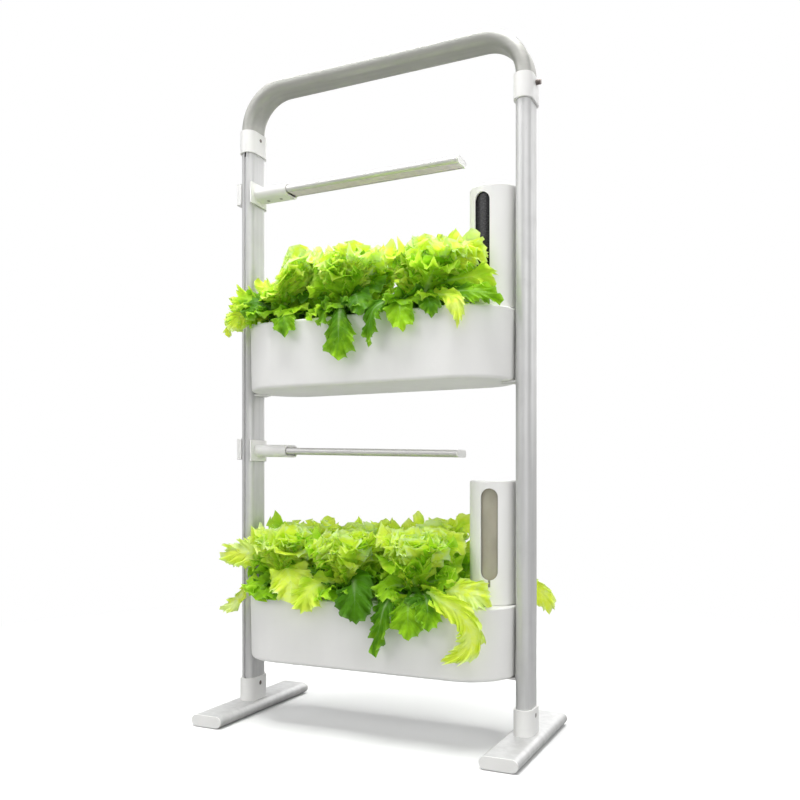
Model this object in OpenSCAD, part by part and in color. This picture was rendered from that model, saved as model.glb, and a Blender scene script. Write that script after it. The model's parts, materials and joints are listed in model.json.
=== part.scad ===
// Two-tier hydroponic garden on a tubular stand. Millimetres, +Z up.
// Origin: on the floor, midway between the two posts. +X runs from the left post to the right
// post, and the front of the garden faces -Y.

/* [Stand] */
// Distance between the two post axes
post_pitch = 500; // [470:5:640]
// Depth of the flat-oval posts, front to back
post_depth = 50; // [46:1:60]
// Thickness of the flat-oval posts, side to side
post_width = 24; // [20:1:28]
// Wall of the posts and of the top rail
tube_wall = 2; // [1.4:0.1:3]
// Width of the groove along one edge of each post
groove_w = 3.4; // [2.4:0.1:4.4]
// Overall height
total_h = 1098; // [1080:2:1200]
// Radius of the top rail's bends, on the tube's centre line
bend_r = 68; // [60:1:80]
// Height of the white collars that join the rail to the posts
collar_h = 38.5; // [34:0.5:50]
// Wall of the collars and sockets
shoe_wall = 3.1; // [2.4:0.1:4]
// Height of the sockets above the feet
socket_h = 39.5; // [34:0.5:50]
// Thickness of the socket's floor, under the post
socket_floor = 12; // [8:0.5:16]
// Radius of the thumb screw's knurled knob
thumb_r = 3.9; // [3:0.1:6]

/* [Feet] */
// Width of each foot bar
foot_w = 57.4; // [50:0.2:70]
// Height of each foot bar with its grip pad
foot_h = 19.7; // [17:0.1:26]
// Reach of the feet in front of the posts
foot_front = 133.5; // [110:0.5:180]
// Reach of the feet behind the posts
foot_back = 137; // [110:0.5:180]
// Wall of the foot bars
foot_wall = 2; // [1.5:0.1:3]
// Thickness of the end caps outside the foot bars
foot_cap = 2.5; // [2:0.1:5]
// Thickness of the grip pads
pad_t = 1.2; // [0.8:0.1:2.5]

/* [Planters] */
// Underside of the lower planter above the floor
tier_z = 104; // [96:1:130]
// Height from one planter to the next, as a share of the posts' clear height
pitch_share = 0.51666; // [0.50:0.0001:0.54]
// Width of the planters at the rim, front to back
planter_w = 154; // [140:1:170]
// Height of the planters with their lids
planter_h = 109.5; // [100:0.5:125]
// How far the planter's wall leans out from the bottom to the rim
planter_draft = 2; // [1:0.2:4]
// Wall of the planters
planter_wall = 2.6; // [2:0.1:4]
// Gap between the planter's ends and the posts, at the rim
end_gap = 2; // [1.8:0.1:4]
// Distance of the planter's centre line in front of the posts' axes
planter_fwd = 4; // [0:0.5:8]
// Radius round the planter's bottom edge
bottom_round = 6; // [3:0.5:10]
// Thickness of the planter's lid
deck_t = 4; // [3:0.2:6]

/* [Plants] */
// Distance between plant columns
cup_pitch = 124; // [118:1:126]
// Distance between the two plant rows
row_pitch = 72; // [64:1:76]
// Inner radius of the net cups at the top
cup_r = 22.5; // [18:0.5:24]
// Depth of the net cups
cup_h = 50; // [40:1:60]
// Height of the plants above the lid, upper tier
leaf_h_upper = 137; // [80:1:140]
// Height of the plants above the lid, lower tier
leaf_h_lower = 130; // [80:1:135]

/* [Water towers] */
// Outer radius of the sleeve
sleeve_r = 37.2; // [34:0.2:38]
// Wall of the sleeve
sleeve_wall = 2.4; // [1.8:0.1:3.2]
// Height of the sleeve's top above the lid
sleeve_h = 190.4; // [160:0.5:230]
// Width of the level window
window_w = 26; // [16:0.5:32]
// Height of the level window
window_h = 139.3; // [90:0.5:142]
// How far the sleeve of the lower tower is turned
lower_turn = 7.4; // [-40:0.2:40]
// How far the sleeve of the upper tower is turned
upper_turn = -11.6; // [-40:0.2:40]
// Gap between the sleeve and the tank
tank_gap = 1.4; // [0.8:0.1:3]
// Wall of the tank
tank_wall = 1.6; // [1.2:0.1:2.5]

/* [Lamps] */
// Upper lamp's axis below the collars
upper_lamp_drop = 71.6; // [70:0.2:90]
// How much higher the lower lamp is set
lower_lamp_up = 2.4; // [0:0.2:10]
// Length of the lamp bar outside the neck
lamp_len = 313.2; // [200:1:330]
// Width of the lamp bar
lamp_w = 36.8; // [30:0.2:38]
// Thickness of the lamp bar
lamp_t = 11.5; // [10:0.1:12]
// How far the bracket's neck reaches from the post's side
neck_len = 67; // [50:1:80]
// Width of the neck
neck_w = 41; // [40:0.5:48]
// Height of the neck
neck_t = 21; // [19:0.5:26]
// Height of the saddle plate on the post
saddle_h = 36.6; // [32:0.2:44]
// Thickness of the saddle plate
saddle_t = 3.5; // [3:0.1:6]
// How far the lower lamp sags, in degrees
lower_sag = 1.65; // [0:0.05:2]
// How far the upper lamp sags, in degrees
upper_sag = 0; // [0:0.1:2]

/* [Fits] */
// Gap between parts that are fixed to each other
fit = 0.15; // [0.1:0.05:0.2]
// Gap between a part that slides or turns and its guide
slide_gap = 0.3; // [0.2:0.05:0.4]
// Running gap of the thumb screw in its hole
screw_gap = 0.05; // [0.03:0.01:0.1]

/* [Hidden] */
$fn = 64;
TIERS = ["lower", "upper"];
PLANTS = 6;
FIXED = ["left_post", "right_post", "groove_strip", "top_rail", "left_collar", "right_collar",
    "left_socket", "right_socket", "left_foot", "right_foot", "foot_end_caps", "foot_pads",
    "foot_bolts", "frame_screws", "thumb_screw", "power_inlet", "bracket_screws"];
PER_TIER = ["brackets", "planter", "deck", "net_cups", "tank_seat", "tank", "tank_cap", "sleeve",
    "lamp_bracket", "lamp_clamp", "lamp_bar", "led_board", "lamp_diffuser", "lamp_end_cap",
    "lamp_screws"];

// Colours
WHITE = [0.90, 0.90, 0.88];
ALLOY = [0.78, 0.78, 0.79];
RAIL = [0.66, 0.67, 0.68];
DARK = [0.16, 0.16, 0.17];
GREY = [0.68, 0.67, 0.68];
STEEL = [0.62, 0.62, 0.62];
LEAF = [0.55, 0.80, 0.12];
EPS = 0.01;

// Stand
post_x = post_pitch / 2;
rail_z = total_h - post_width / 2;
bend_z = rail_z - bend_r;
collar_top = bend_z - 2;
collar_bot = collar_top - collar_h;
joint_z = collar_top - collar_h / 2;
socket_top = foot_h + socket_h;
post_bot = foot_h + socket_floor;
clear_h = collar_bot - tier_z;
tier_pitch = clear_h * pitch_share;
lamp_rise = clear_h - tier_pitch - upper_lamp_drop;
post_h = joint_z - post_bot;
shoe_depth = post_depth + 2 * (shoe_wall + fit);
shoe_width = post_width + 2 * (shoe_wall + fit);
frame_screw_r = 1.7;
frame_screw_z = collar_top - 12;
socket_screw_r = 2.5;
socket_screw_z = socket_top - 11.5;
socket_head_r = 3.8;
socket_head_deep = 1.6;
thumb_z = collar_top - 9.4;
thumb_shank_r = 2.5;
thumb_len = 7.5;
groove_deep = tube_wall + 1;
strip_t = 1.2;
strip_short_low = 1.5;
strip_short_top = 7;
inlet_z = socket_top + 40;
inlet_r = 5.5;
inlet_bore_r = 2.85;
inlet_bore_deep = 9.5;
bolt_r = 3;
bolt_head_r = 5.5;
bolt_head_t = 4;
access_r = 7;

// Planters
planter_end_x = post_x - post_width / 2 - end_gap;
rim_r = planter_w / 2;
tub_h = planter_h - deck_t;
tub_draft = planter_draft * tub_h / planter_h;
deck_round = 3;
skirt_h = 5;
skirt_t = 2;
shelf_t = 3;
shelf_root = 6;
shelf_w = 30;
leg_t = 1.5;
leg_h = 46;
leg_w = 24;
leg_screw_z = [14, 34];
leg_screw_r = 1.6;
leg_head_r = 3.2;
leg_head_t = 0.9;
peg_r = 4;
peg_h = 4;
peg_x = post_x - post_width / 2 - 20;
boss_r = 7.5;
boss_h = 9;

// Plants
cup_x0 = -planter_end_x + 74;
cup_wall = 1.5;
cup_flange_r = cup_r + cup_wall + 4;
cup_flange_t = 1.5;
cup_foot_r = cup_r - 6;
hole_r = cup_r + cup_wall + fit;
cup_ribs = 10;
slot_w = 4;
leaf_gap = 0.8;
LEAF_STEPS = 32;
head_reach = 60;
leaf_t = 7;

// Towers
tower_x = planter_end_x - sleeve_r - 2.3;
tower_y = 5;
ledge_r = sleeve_r - 1.6;
ledge_h = 1.8;
guide_r = sleeve_r - sleeve_wall - slide_gap;
guide_h = 3.6;
guide_t = 1.4;
seat_ring_h = 4;
sleeve_round = 3.2;
window_top = 12.4;
notch_w = 3.8;
notch_h = 10.7;
tank_r = sleeve_r - sleeve_wall - tank_gap;
tank_top = sleeve_h - sleeve_wall - 3;
tank_round = 6;
neck_r = 11;
neck_drop = 22;
cap_r = 13.6;
cap_wall = 2;
cap_h = 15;
outlet_r = 4;
seat_bore = cap_r + 1.2;

// Lamps
saddle_x = post_width / 2 + slide_gap;
saddle_front = post_depth / 2 + 3.5;
neck_end = saddle_x + neck_len;
bar_end = neck_end + lamp_len;
bar_hold = 26;
mouth_deep = 2.2;
mouth_gap = 1.6;
lamp_cap = 3.2;
clamp_t = 10.6;
clamp_half = 18;
clamp_gap = 1;
clamp_lift = 2.7;
arm_t = saddle_t;
arm_end = post_depth / 2 - 5;
channel_w = lamp_w - 12.8;
channel_h = 6.4;
board_t = 1.6;
led_w = 5;
led_t = 0.8;
led_pitch = 24;
diffuser_t = 1.8;
lens_in = 0.7;
neck_screw_r = 1.6;
neck_screw_x = [20, 46];

// ---- helpers ----

function tier_base(t) = tier_z + (t == "upper" ? tier_pitch : 0);
function deck_top(t) = tier_base(t) + planter_h;
function lamp_z(t) = tier_base(t) + lamp_rise + (t == "upper" ? 0 : lower_lamp_up);

// Flat-oval outline, d long in Y and w wide in X
module oval(d, w) {
    translate([0, d / 2 - w / 2]) circle(d = w);
    translate([0, -(d / 2 - w / 2)]) circle(d = w);
    square([w, d - w], center = true);
}

module oval_ring(d, w, wall) {
    difference() {
        oval(d, w);
        oval(d - 2 * wall, w - 2 * wall);
    }
}

// Half section of a trough wall: lean out by draft over h, with a round of radius f at the bottom
module lean_profile(r, h, draft, f) {
    rb = r - draft;
    slant = sqrt(h * h + draft * draft);
    fx = rb + (f * draft - f * slant) / h;
    proud = draft > 0 ? 0.01 : 0;
    tx = fx + f * h / slant;
    tz = f - f * draft / slant;
    polygon([[0, 0], [fx + proud, 0], [tx, tz], [r, h], [0, h]]);
    intersection() {
        translate([fx + proud, f]) circle(r = f);
        translate([0, -1]) square([2 * r, 1 + min(h, 2 * f + 1)]);
    }
}

// Solid trough shape with round ends, len long and 2r wide at its top
module trough(len, r, h, draft, f) {
    mid = len - 2 * r;
    for (side = [-1, 1])
        translate([side * mid / 2, 0, 0]) rotate_extrude() lean_profile(r, h, draft, f);
    rotate([90, 0, 90]) linear_extrude(mid, center = true) {
        lean_profile(r, h, draft, f);
        mirror([1, 0]) lean_profile(r, h, draft, f);
    }
}

module slab(len, w, h) {
    linear_extrude(h) rotate(90) oval(len, w);
}

// ---- stand ----

module post(groove_side) {
    translate([0, 0, post_bot]) difference() {
        linear_extrude(post_h) oval_ring(post_depth, post_width, tube_wall);
        translate([-groove_w / 2, groove_side > 0 ? post_depth / 2 - groove_deep : -post_depth / 2 - 1, -1])
            cube([groove_w, groove_deep + 1, post_h + 2]);
        // bracket screw holes in the face towards the planters
        for (t = TIERS, z = leg_screw_z)
            translate([0, 0, tier_base(t) - post_bot + z]) rotate([0, -90 * groove_side, 0])
                cylinder(r = leg_screw_r + fit, h = post_width);
        // socket screw hole in the right-hand face
        translate([0, 0, socket_screw_z - post_bot]) rotate([0, 90, 0])
            cylinder(r = socket_screw_r + fit, h = post_width);
    }
}

module left_post() {
    color(ALLOY) translate([-post_x, 0, 0]) difference() {
        post(-1);
        translate([0, 0, inlet_z]) rotate([-90, 0, 0]) cylinder(r = inlet_r + fit, h = post_depth);
    }
}

module right_post() {
    color(ALLOY) translate([post_x, 0, 0]) post(1);
}

// Grey cover strip in the left post's groove, a little short at both ends, its flange inside the tube
module groove_strip() {
    low = socket_top + strip_short_low;
    h = collar_bot - strip_short_top - low;
    flange_w = groove_w + 4;
    flange_y = tube_wall + 1.4;
    color(GREY) translate([-post_x, -post_depth / 2, low]) {
        translate([-flange_w / 2, flange_y, 0]) cube([flange_w, strip_t, h]);
        translate([-groove_w / 2 + fit, 1.5, 0]) cube([groove_w - 2 * fit, flange_y - 1.5 + EPS, h]);
    }
}

module rail_leg(z0) {
    translate([0, 0, z0]) linear_extrude(bend_z - z0)
        oval_ring(post_depth, post_width, tube_wall);
}

module top_rail() {
    color(RAIL) difference() {
        union() {
            for (side = [-1, 1]) {
                translate([side * post_x, 0, 0]) rail_leg(joint_z + fit);
                translate([side * (post_x - bend_r), 0, bend_z]) rotate([90, 0, 0])
                    rotate(side > 0 ? 0 : 90) rail_bend();
            }
            translate([0, 0, rail_z]) rotate([0, 90, 0])
                linear_extrude(post_pitch - 2 * bend_r, center = true)
                    oval_ring(post_depth, post_width, tube_wall);
        }
        translate([-post_x, 0, frame_screw_z]) rotate([0, 90, 0])
            cylinder(r = frame_screw_r + fit, h = post_width);
        translate([post_x, 0, thumb_z]) rotate([0, 90, 0])
            cylinder(r = thumb_shank_r + fit, h = post_width);
    }
}

// Quarter bend of the rail
module rail_bend() {
    rotate_extrude(angle = 90) translate([bend_r, 0]) oval_ring(post_depth, post_width, tube_wall);
}

module collar() {
    translate([0, 0, collar_bot]) linear_extrude(collar_h)
        oval_ring(shoe_depth, shoe_width, shoe_wall);
}

module left_collar() {
    color(WHITE) translate([-post_x, 0, 0]) difference() {
        collar();
        translate([0, 0, frame_screw_z]) rotate([0, 90, 0])
            cylinder(r = frame_screw_r + fit, h = shoe_width);
    }
}

module right_collar() {
    color(WHITE) translate([post_x, 0, 0]) difference() {
        collar();
        translate([0, 0, thumb_z]) rotate([0, 90, 0])
            cylinder(r = thumb_shank_r + screw_gap, h = shoe_width);
    }
}

module socket() {
    difference() {
        translate([0, 0, foot_h]) linear_extrude(socket_h) oval(shoe_depth, shoe_width);
        translate([0, 0, post_bot]) linear_extrude(socket_h)
            oval(post_depth + 2 * fit, post_width + 2 * fit);
        translate([0, 0, socket_screw_z]) rotate([0, 90, 0])
            cylinder(r = socket_screw_r + fit, h = shoe_width);
        translate([shoe_width / 2 - socket_head_deep, 0, socket_screw_z]) rotate([0, 90, 0])
            cylinder(r = socket_head_r + fit, h = shoe_width);
        translate([0, 0, foot_h - 1]) cylinder(r = bolt_r + fit, h = socket_floor - 1);
    }
}

module left_socket() {
    color(WHITE) translate([-post_x, 0, 0]) socket();
}

module right_socket() {
    color(WHITE) translate([post_x, 0, 0]) socket();
}

module foot() {
    bar_h = foot_h - pad_t;
    bar_len = foot_front + foot_back - 2 * foot_cap;
    difference() {
        translate([0, -foot_front + foot_cap, pad_t + bar_h / 2]) rotate([-90, 0, 0])
            linear_extrude(bar_len) difference() {
                rotate(90) oval(foot_w, bar_h);
                rotate(90) oval(foot_w - 2 * foot_wall, bar_h - 2 * foot_wall);
            }
        translate([0, 0, foot_h - foot_wall - 1]) cylinder(r = bolt_r + fit, h = foot_wall + 2);
        translate([0, 0, -1]) cylinder(r = access_r, h = pad_t + foot_wall + 2);
    }
}

module left_foot() {
    color(ALLOY) translate([-post_x, 0, 0]) foot();
}

module right_foot() {
    color(ALLOY) translate([post_x, 0, 0]) foot();
}

module foot_end_caps() {
    bar_h = foot_h - pad_t;
    plug = 10;
    color(WHITE) for (x = [-post_x, post_x], back = [0, 1])
        translate([x, back ? foot_back - foot_cap : -foot_front + foot_cap, pad_t + bar_h / 2])
            rotate([back ? -90 : 90, 0, 0]) {
                linear_extrude(foot_cap) rotate(90) oval(foot_w, bar_h);
                translate([0, 0, -plug]) linear_extrude(plug + EPS) rotate(90)
                    oval_ring(foot_w - 2 * (foot_wall + fit), bar_h - 2 * (foot_wall + fit), 2);
            }
}

module foot_pads() {
    inset = 9;
    color(DARK) for (x = [-post_x, post_x]) translate([x, (foot_back - foot_front) / 2, 0])
        difference() {
            linear_extrude(pad_t) oval(foot_front + foot_back - 2 * inset, foot_w - 2 * inset);
            translate([0, (foot_front - foot_back) / 2, -1]) cylinder(r = access_r, h = pad_t + 2);
        }
}

module foot_bolts() {
    head_top = foot_h - foot_wall;
    color(STEEL) for (x = [-post_x, post_x]) translate([x, 0, 0]) {
        translate([0, 0, head_top - bolt_head_t]) cylinder(r = bolt_head_r, h = bolt_head_t);
        translate([0, 0, head_top - EPS]) cylinder(r = bolt_r, h = foot_wall + socket_floor - 3);
    }
}

module frame_screws() {
    color(STEEL) {
        translate([-post_x + shoe_width / 2, 0, frame_screw_z]) rotate([0, 90, 0]) {
            cylinder(r = frame_screw_r + 1.2, h = 0.6);
            translate([0, 0, -shoe_wall - tube_wall - 2]) cylinder(r = frame_screw_r, h = shoe_wall + tube_wall + 2.1);
        }
        for (x = [-post_x, post_x])
            translate([x + shoe_width / 2 - socket_head_deep, 0, socket_screw_z]) rotate([0, 90, 0]) {
                cylinder(r = socket_head_r, h = socket_head_deep - 0.6);
                translate([0, 0, -shoe_wall - tube_wall]) cylinder(r = socket_screw_r, h = shoe_wall + tube_wall + EPS);
            }
    }
}

module thumb_screw() {
    knurls = 18;
    color(STEEL) translate([post_x + shoe_width / 2 + slide_gap, 0, thumb_z]) rotate([0, 90, 0]) {
        difference() {
            cylinder(r = thumb_r, h = thumb_len);
            for (i = [0:knurls - 1]) rotate(i * 360 / knurls) translate([thumb_r + 0.1, 0, 1])
                cylinder(r = 0.35, h = thumb_len - 2);
        }
        translate([0, 0, -shoe_wall - tube_wall - 2]) cylinder(r = thumb_shank_r, h = shoe_wall + tube_wall + 2.1);
    }
}

module power_inlet() {
    flange = 1.2;
    color(DARK) translate([-post_x, 0, inlet_z]) rotate([-90, 0, 0]) difference() {
        union() {
            translate([0, 0, post_depth / 2 - 10]) cylinder(r = inlet_r, h = 10 + flange);
            translate([0, 0, post_depth / 2 + EPS]) cylinder(r = inlet_r + 2, h = flange - EPS);
        }
        translate([0, 0, post_depth / 2 + flange - inlet_bore_deep])
            cylinder(r = inlet_bore_r, h = inlet_bore_deep + 1);
    }
}

// ---- planters ----

// Shelf brackets of one tier, one on each post's inner face
module brackets(t) {
    inner = post_x - post_width / 2;
    nose = peg_r + 2.5;
    color(STEEL) for (side = [-1, 1]) translate([0, 0, tier_base(t)]) difference() {
        union() {
            translate([side > 0 ? inner - leg_t : -inner, -leg_w / 2, -shelf_t])
                cube([leg_t, leg_w, leg_h]);
            translate([0, 0, -shelf_t]) linear_extrude(shelf_t) polygon([
                [side * inner, -shelf_w / 2], [side * inner, shelf_w / 2],
                [side * (inner - shelf_root), shelf_w / 2], [side * peg_x, nose - 0.2 - planter_fwd],
                [side * peg_x, 0.2 - nose - planter_fwd], [side * (inner - shelf_root), -shelf_w / 2]]);
            translate([side * peg_x, -planter_fwd, -shelf_t]) cylinder(r = nose, h = shelf_t);
            translate([side * peg_x, -planter_fwd, -EPS]) cylinder(r = peg_r, h = peg_h);
        }
        for (z = leg_screw_z) translate([side * (inner - leg_t - 1), 0, z]) rotate([0, side * 90, 0]) {
            cylinder(r = leg_screw_r + fit, h = leg_t + 2);
            cylinder(r = leg_head_r + fit, h = leg_head_t + 1);
        }
    }
}

module bracket_screws() {
    inner = post_x - post_width / 2;
    color(STEEL) for (t = TIERS, side = [-1, 1], z = leg_screw_z)
        translate([side * (inner - leg_t), 0, tier_base(t) + z]) rotate([0, side * 90, 0]) {
            cylinder(r = leg_head_r, h = leg_head_t);
            cylinder(r = leg_screw_r, h = leg_t + tube_wall + 2);
        }
}

module planter(t) {
    inner_r = rim_r - planter_wall;
    color(WHITE) translate([0, -planter_fwd, tier_base(t)]) difference() {
        union() {
            difference() {
                trough(2 * planter_end_x, rim_r, tub_h, tub_draft, bottom_round);
                translate([0, 0, planter_wall])
                    trough(2 * (planter_end_x - planter_wall), inner_r, tub_h, tub_draft,
                        bottom_round - planter_wall + 0.5);
            }
            for (side = [-1, 1]) translate([side * peg_x, 0, 0.5]) cylinder(r = boss_r, h = boss_h);
        }
        for (side = [-1, 1]) translate([side * peg_x, 0, -1])
            cylinder(r = peg_r + slide_gap, h = peg_h + 2);
    }
}

function cup_x(i) = cup_x0 + (i % 3) * cup_pitch;
function cup_y(i) = -planter_fwd + (i < 3 ? -row_pitch / 2 : row_pitch / 2);

module deck(t) {
    skirt_r = rim_r - planter_wall - fit - tub_draft * skirt_h / tub_h;
    color(WHITE) translate([0, 0, tier_base(t) + tub_h]) difference() {
        union() {
            translate([0, -planter_fwd, deck_t]) mirror([0, 0, 1])
                trough(2 * planter_end_x, rim_r, deck_t, 0, deck_round);
            translate([0, -planter_fwd, -skirt_h]) difference() {
                slab(2 * (planter_end_x - rim_r + skirt_r), 2 * skirt_r, skirt_h + EPS);
                translate([0, 0, -1])
                    slab(2 * (planter_end_x - rim_r + skirt_r - skirt_t), 2 * (skirt_r - skirt_t), skirt_h + 1);
            }
        }
        for (i = [0:PLANTS - 1]) translate([cup_x(i), cup_y(i), -skirt_h])
            cylinder(r = hole_r, h = skirt_h + deck_t + 1);
        translate([tower_x, tower_y, -skirt_h]) cylinder(r = seat_bore + 3.5 + fit, h = skirt_h + deck_t + 1);
    }
}

// One net cup, its flange on the lid
module net_cup() {
    difference() {
        union() {
            cylinder(r = cup_flange_r, h = cup_flange_t);
            translate([0, 0, -cup_h + cup_flange_t])
                cylinder(r1 = cup_foot_r + cup_wall, r2 = cup_r + cup_wall, h = cup_h - cup_flange_t + EPS);
        }
        translate([0, 0, -cup_h + cup_flange_t + cup_wall])
            cylinder(r1 = cup_foot_r, r2 = cup_r, h = cup_h - cup_wall + EPS);
        for (i = [0:cup_ribs / 2 - 1]) rotate(i * 360 / cup_ribs)
            translate([-cup_flange_r, -slot_w / 2, -cup_h + 6])
                cube([2 * cup_flange_r, slot_w, cup_h - 18]);
    }
}

module net_cups(t) {
    color(DARK) for (i = [0:PLANTS - 1])
        translate([cup_x(i), cup_y(i), deck_top(t)]) net_cup();
}

// ---- plants ----

// Distance along a ray from (px, py) towards angle a until it meets the box [x0, x1, y0, y1]
function ray_box(px, py, a, b) =
    let (dx = cos(a), dy = sin(a),
        tx0 = abs(dx) < 1e-6 ? -1e6 : (b[0] - px) / dx, tx1 = abs(dx) < 1e-6 ? 1e6 : (b[1] - px) / dx,
        ty0 = abs(dy) < 1e-6 ? -1e6 : (b[2] - py) / dy, ty1 = abs(dy) < 1e-6 ? 1e6 : (b[3] - py) / dy,
        near = max(min(tx0, tx1), min(ty0, ty1)), far = min(max(tx0, tx1), max(ty0, ty1)))
    near > far || far < 0 ? 1e6 : near;

// Distance from inside a box to its wall
function wall_box(px, py, a, b) =
    let (dx = cos(a), dy = sin(a),
        tx = abs(dx) < 1e-6 ? 1e6 : (dx > 0 ? b[1] - px : b[0] - px) / dx,
        ty = abs(dy) < 1e-6 ? 1e6 : (dy > 0 ? b[3] - py : b[2] - py) / dy)
    min(tx, ty);

// Free reach of plant i's foliage from (x, y) in direction a: its own share of the bed, less the
// posts, the lamp saddle and the tower
function free_reach(i, x, y, a) =
    let (col = i % 3, front = i < 3, cx = cup_x(i),
        x0 = col == 0 ? -post_x - 34 : cx - cup_pitch / 2 + leaf_gap,
        x1 = col == 2 ? (front ? post_x - 14 : post_x + 22) : cx + cup_pitch / 2 - leaf_gap,
        y0 = front ? -planter_fwd - rim_r - 20 : -planter_fwd + leaf_gap,
        y1 = front ? -planter_fwd - leaf_gap : -planter_fwd + rim_r + 16,
        px = post_width / 2 + slide_gap + saddle_t + 3, py = post_depth / 2 + 6,
        tr = sleeve_r + 4.4)
    min(wall_box(x, y, a, [x0, x1, y0, y1]),
        ray_box(x, y, a, [-post_x - px - clamp_t, -post_x + px, -py, py + 4]),
        ray_box(x, y, a, [post_x - px, post_x + px, -py, py]),
        ray_box(x, y, a, [tower_x - tr, tower_x + tr, tower_y - tr, tower_y + tr]));

// Long leaves of each plant, lower tier then upper. A leaf is
// [direction of its path, direction of its width, tilt of its width,
//  [[distance from the plant, height above the lid, half width], ...]]
LEAVES = [
    [
        [
            [-170, -80, 60, [[30, 20, 8], [62, 26, 14], [92, 4, 18], [119, -20, 11]]],
            [-170, -80, 65, [[26, 62, 18], [62, 74, 28], [94, 72, 28], [121, 58, 13]]]
        ],
        [
            [-110, 0, 0, [[18, 14, 14], [43, 12, 24], [54, -2, 25], [57, -24, 13]]],
            [-64, 0, 0, [[18, 14, 12], [45, 12, 18], [56, -1, 19], [59, -18, 9]]]
        ],
        [
            [-120, 0, 0, [[20, 14, 10], [46, 12, 16], [62, -4, 18], [65, -40, 18], [64, -72, 8]]],
            [-80, 0, 0, [[18, 14, 14], [41, 12, 24], [54, -4, 27], [57, -40, 20]]],
            [-31.5, 0, 0, [[24, 16, 10], [74, 14, 18], [104, 2, 26], [111, -36, 29], [106, -76, 20]]],
            [-14, 76, 40, [[24, 22, 14], [80, 30, 26], [120, 26, 24], [145, 12, 10]]],
            [-8, 82, 60, [[18, 78, 24], [60, 88, 28], [98, 84, 14]]]
        ],
        [],
        [],
        [
            [16.5, 106, 75, [[40, 26, 8], [110, 27, 12], [160, 14, 20], [184, -4, 23], [191, -22, 9]]]
        ]
    ],
    [
        [
            [-170, -80, 65, [[22, 36, 20], [60, 38, 30], [92, 30, 33], [115, 20, 20]]],
            [-150, -39, 0, [[20, 16, 12], [43, 14, 18], [62, 3, 18], [69, -14, 9]]],
            [-55, 0, 0, [[20, 16, 12], [46, 13, 20], [60, 0, 22], [64, -25, 13]]]
        ],
        [
            [-82, 0, 0, [[18, 16, 12], [41, 13, 20], [54, -2, 24], [57, -38, 28], [57, -68, 12]]],
            [-50, 0, 0, [[20, 16, 12], [50, 13, 14], [64, 0, 15], [67, -30, 15], [66, -52, 6]]]
        ],
        [
            [-97, 0, 0, [[18, 16, 12], [41, 13, 20], [53, -1, 22], [56, -31, 10]]],
            [-49, 0, 0, [[20, 16, 10], [52, 13, 14], [66, 0, 14], [68, -16, 7]]],
            [-29.6, 6, 0, [[24, 18, 10], [76, 14, 14], [98, 4, 16], [103, -18, 16], [103, -41, 7]]],
            [-9, 81, 60, [[24, 34, 16], [80, 38, 26], [115, 34, 22], [146, 8, 14]]],
            [-6, 84, 65, [[24, 54, 20], [80, 62, 26], [120, 58, 24], [144, 46, 10]]],
            [-9, 81, 65, [[16, 76, 26], [60, 96, 30], [98, 92, 26], [118, 78, 12]]]
        ],
        [],
        [],
        []
    ]];

// Crown of each plant: [height as a share of the tier's, width as a share, lean in X]
CROWNS = [
    [[0.93, 0.80, 16], [0.89, 1, 0], [0.93, 1, 6], [0.99, 0.95, 0], [0.97, 1, 0], [1, 0.95, 0]],
    [[1, 0.56, 40], [0.96, 0.9, 0], [0.88, 1, 30], [0.96, 0.75, 8], [0.95, 0.9, 0], [0.95, 0.9, 0]]
];

// Uneven edge of the head, each plant with its own phase
function lobes(i, a) = 1 + 0.06 * cos(5 * a + 70 * i) + 0.05 * cos(8 * a + 130 * i);
function turns() = [for (k = [0:LEAF_STEPS - 1]) k * 360 / LEAF_STEPS];
function flat_ring(v) = [for (a = turns()) v];

// One ring of a head: radii wanted, heights, and the ring's shift in X
function ring(i, radii, heights, shift) =
    [for (k = [0:LEAF_STEPS - 1]) let (a = turns()[k],
        r = max(8, min(radii[k], free_reach(i, cup_x(i) + shift, cup_y(i), a))))
        [shift + r * cos(a), r * sin(a), heights[k]]];

function head_rings(t, i) =
    let (tier = t == "upper" ? 1 : 0, crown = CROWNS[tier][i],
        h = (tier == 1 ? leaf_h_upper : leaf_h_lower) * crown[0],
        lean = crown[2], under = cup_flange_t + 2.5,
        base = [for (a = turns()) head_reach * lobes(i, a)])
    [
        ring(i, flat_ring(cup_foot_r - 0.5), flat_ring(-cup_h + cup_flange_t + cup_wall + slide_gap), 0),
        ring(i, flat_ring(cup_r - 4), flat_ring(-4), 0),
        ring(i, flat_ring(13), flat_ring(under), 0),
        ring(i, base * 0.5, flat_ring(under + 5), 0),
        ring(i, base * 0.92, flat_ring(under + 8), lean * 0.1),
        ring(i, base, [for (a = turns()) h * (0.24 + 0.05 * cos(6 * a + 60 * i))], lean * 0.3),
        ring(i, base * (0.5 + 0.5 * crown[1]), [for (a = turns()) h * (0.56 + 0.05 * cos(4 * a + 50 * i))], lean * 0.6),
        ring(i, base * 0.86 * crown[1], [for (a = turns()) h * (0.83 + 0.06 * cos(5 * a + 90 * i))], lean),
        ring(i, base * 0.46 * crown[1], [for (a = turns()) h * (0.95 + 0.05 * cos(3 * a + 40 * i))], lean)
    ];

// Skin over a stack of closed rings, capped at both ends
module skin(rings, low, high) {
    n = len(rings[0]);
    m = len(rings);
    points = concat([for (r = rings, p = r) p], [low, high]);
    faces = concat(
        [for (j = [0:m - 2], k = [0:n - 1]) [j * n + k, (j + 1) * n + k, j * n + (k + 1) % n]],
        [for (j = [0:m - 2], k = [0:n - 1])
            [j * n + (k + 1) % n, (j + 1) * n + k, (j + 1) * n + (k + 1) % n]],
        [for (k = [0:n - 1]) [m * n, k, (k + 1) % n]],
        [for (k = [0:n - 1]) [m * n + 1, (m - 1) * n + (k + 1) % n, (m - 1) * n + k]]);
    polyhedron(points, faces);
}

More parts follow.
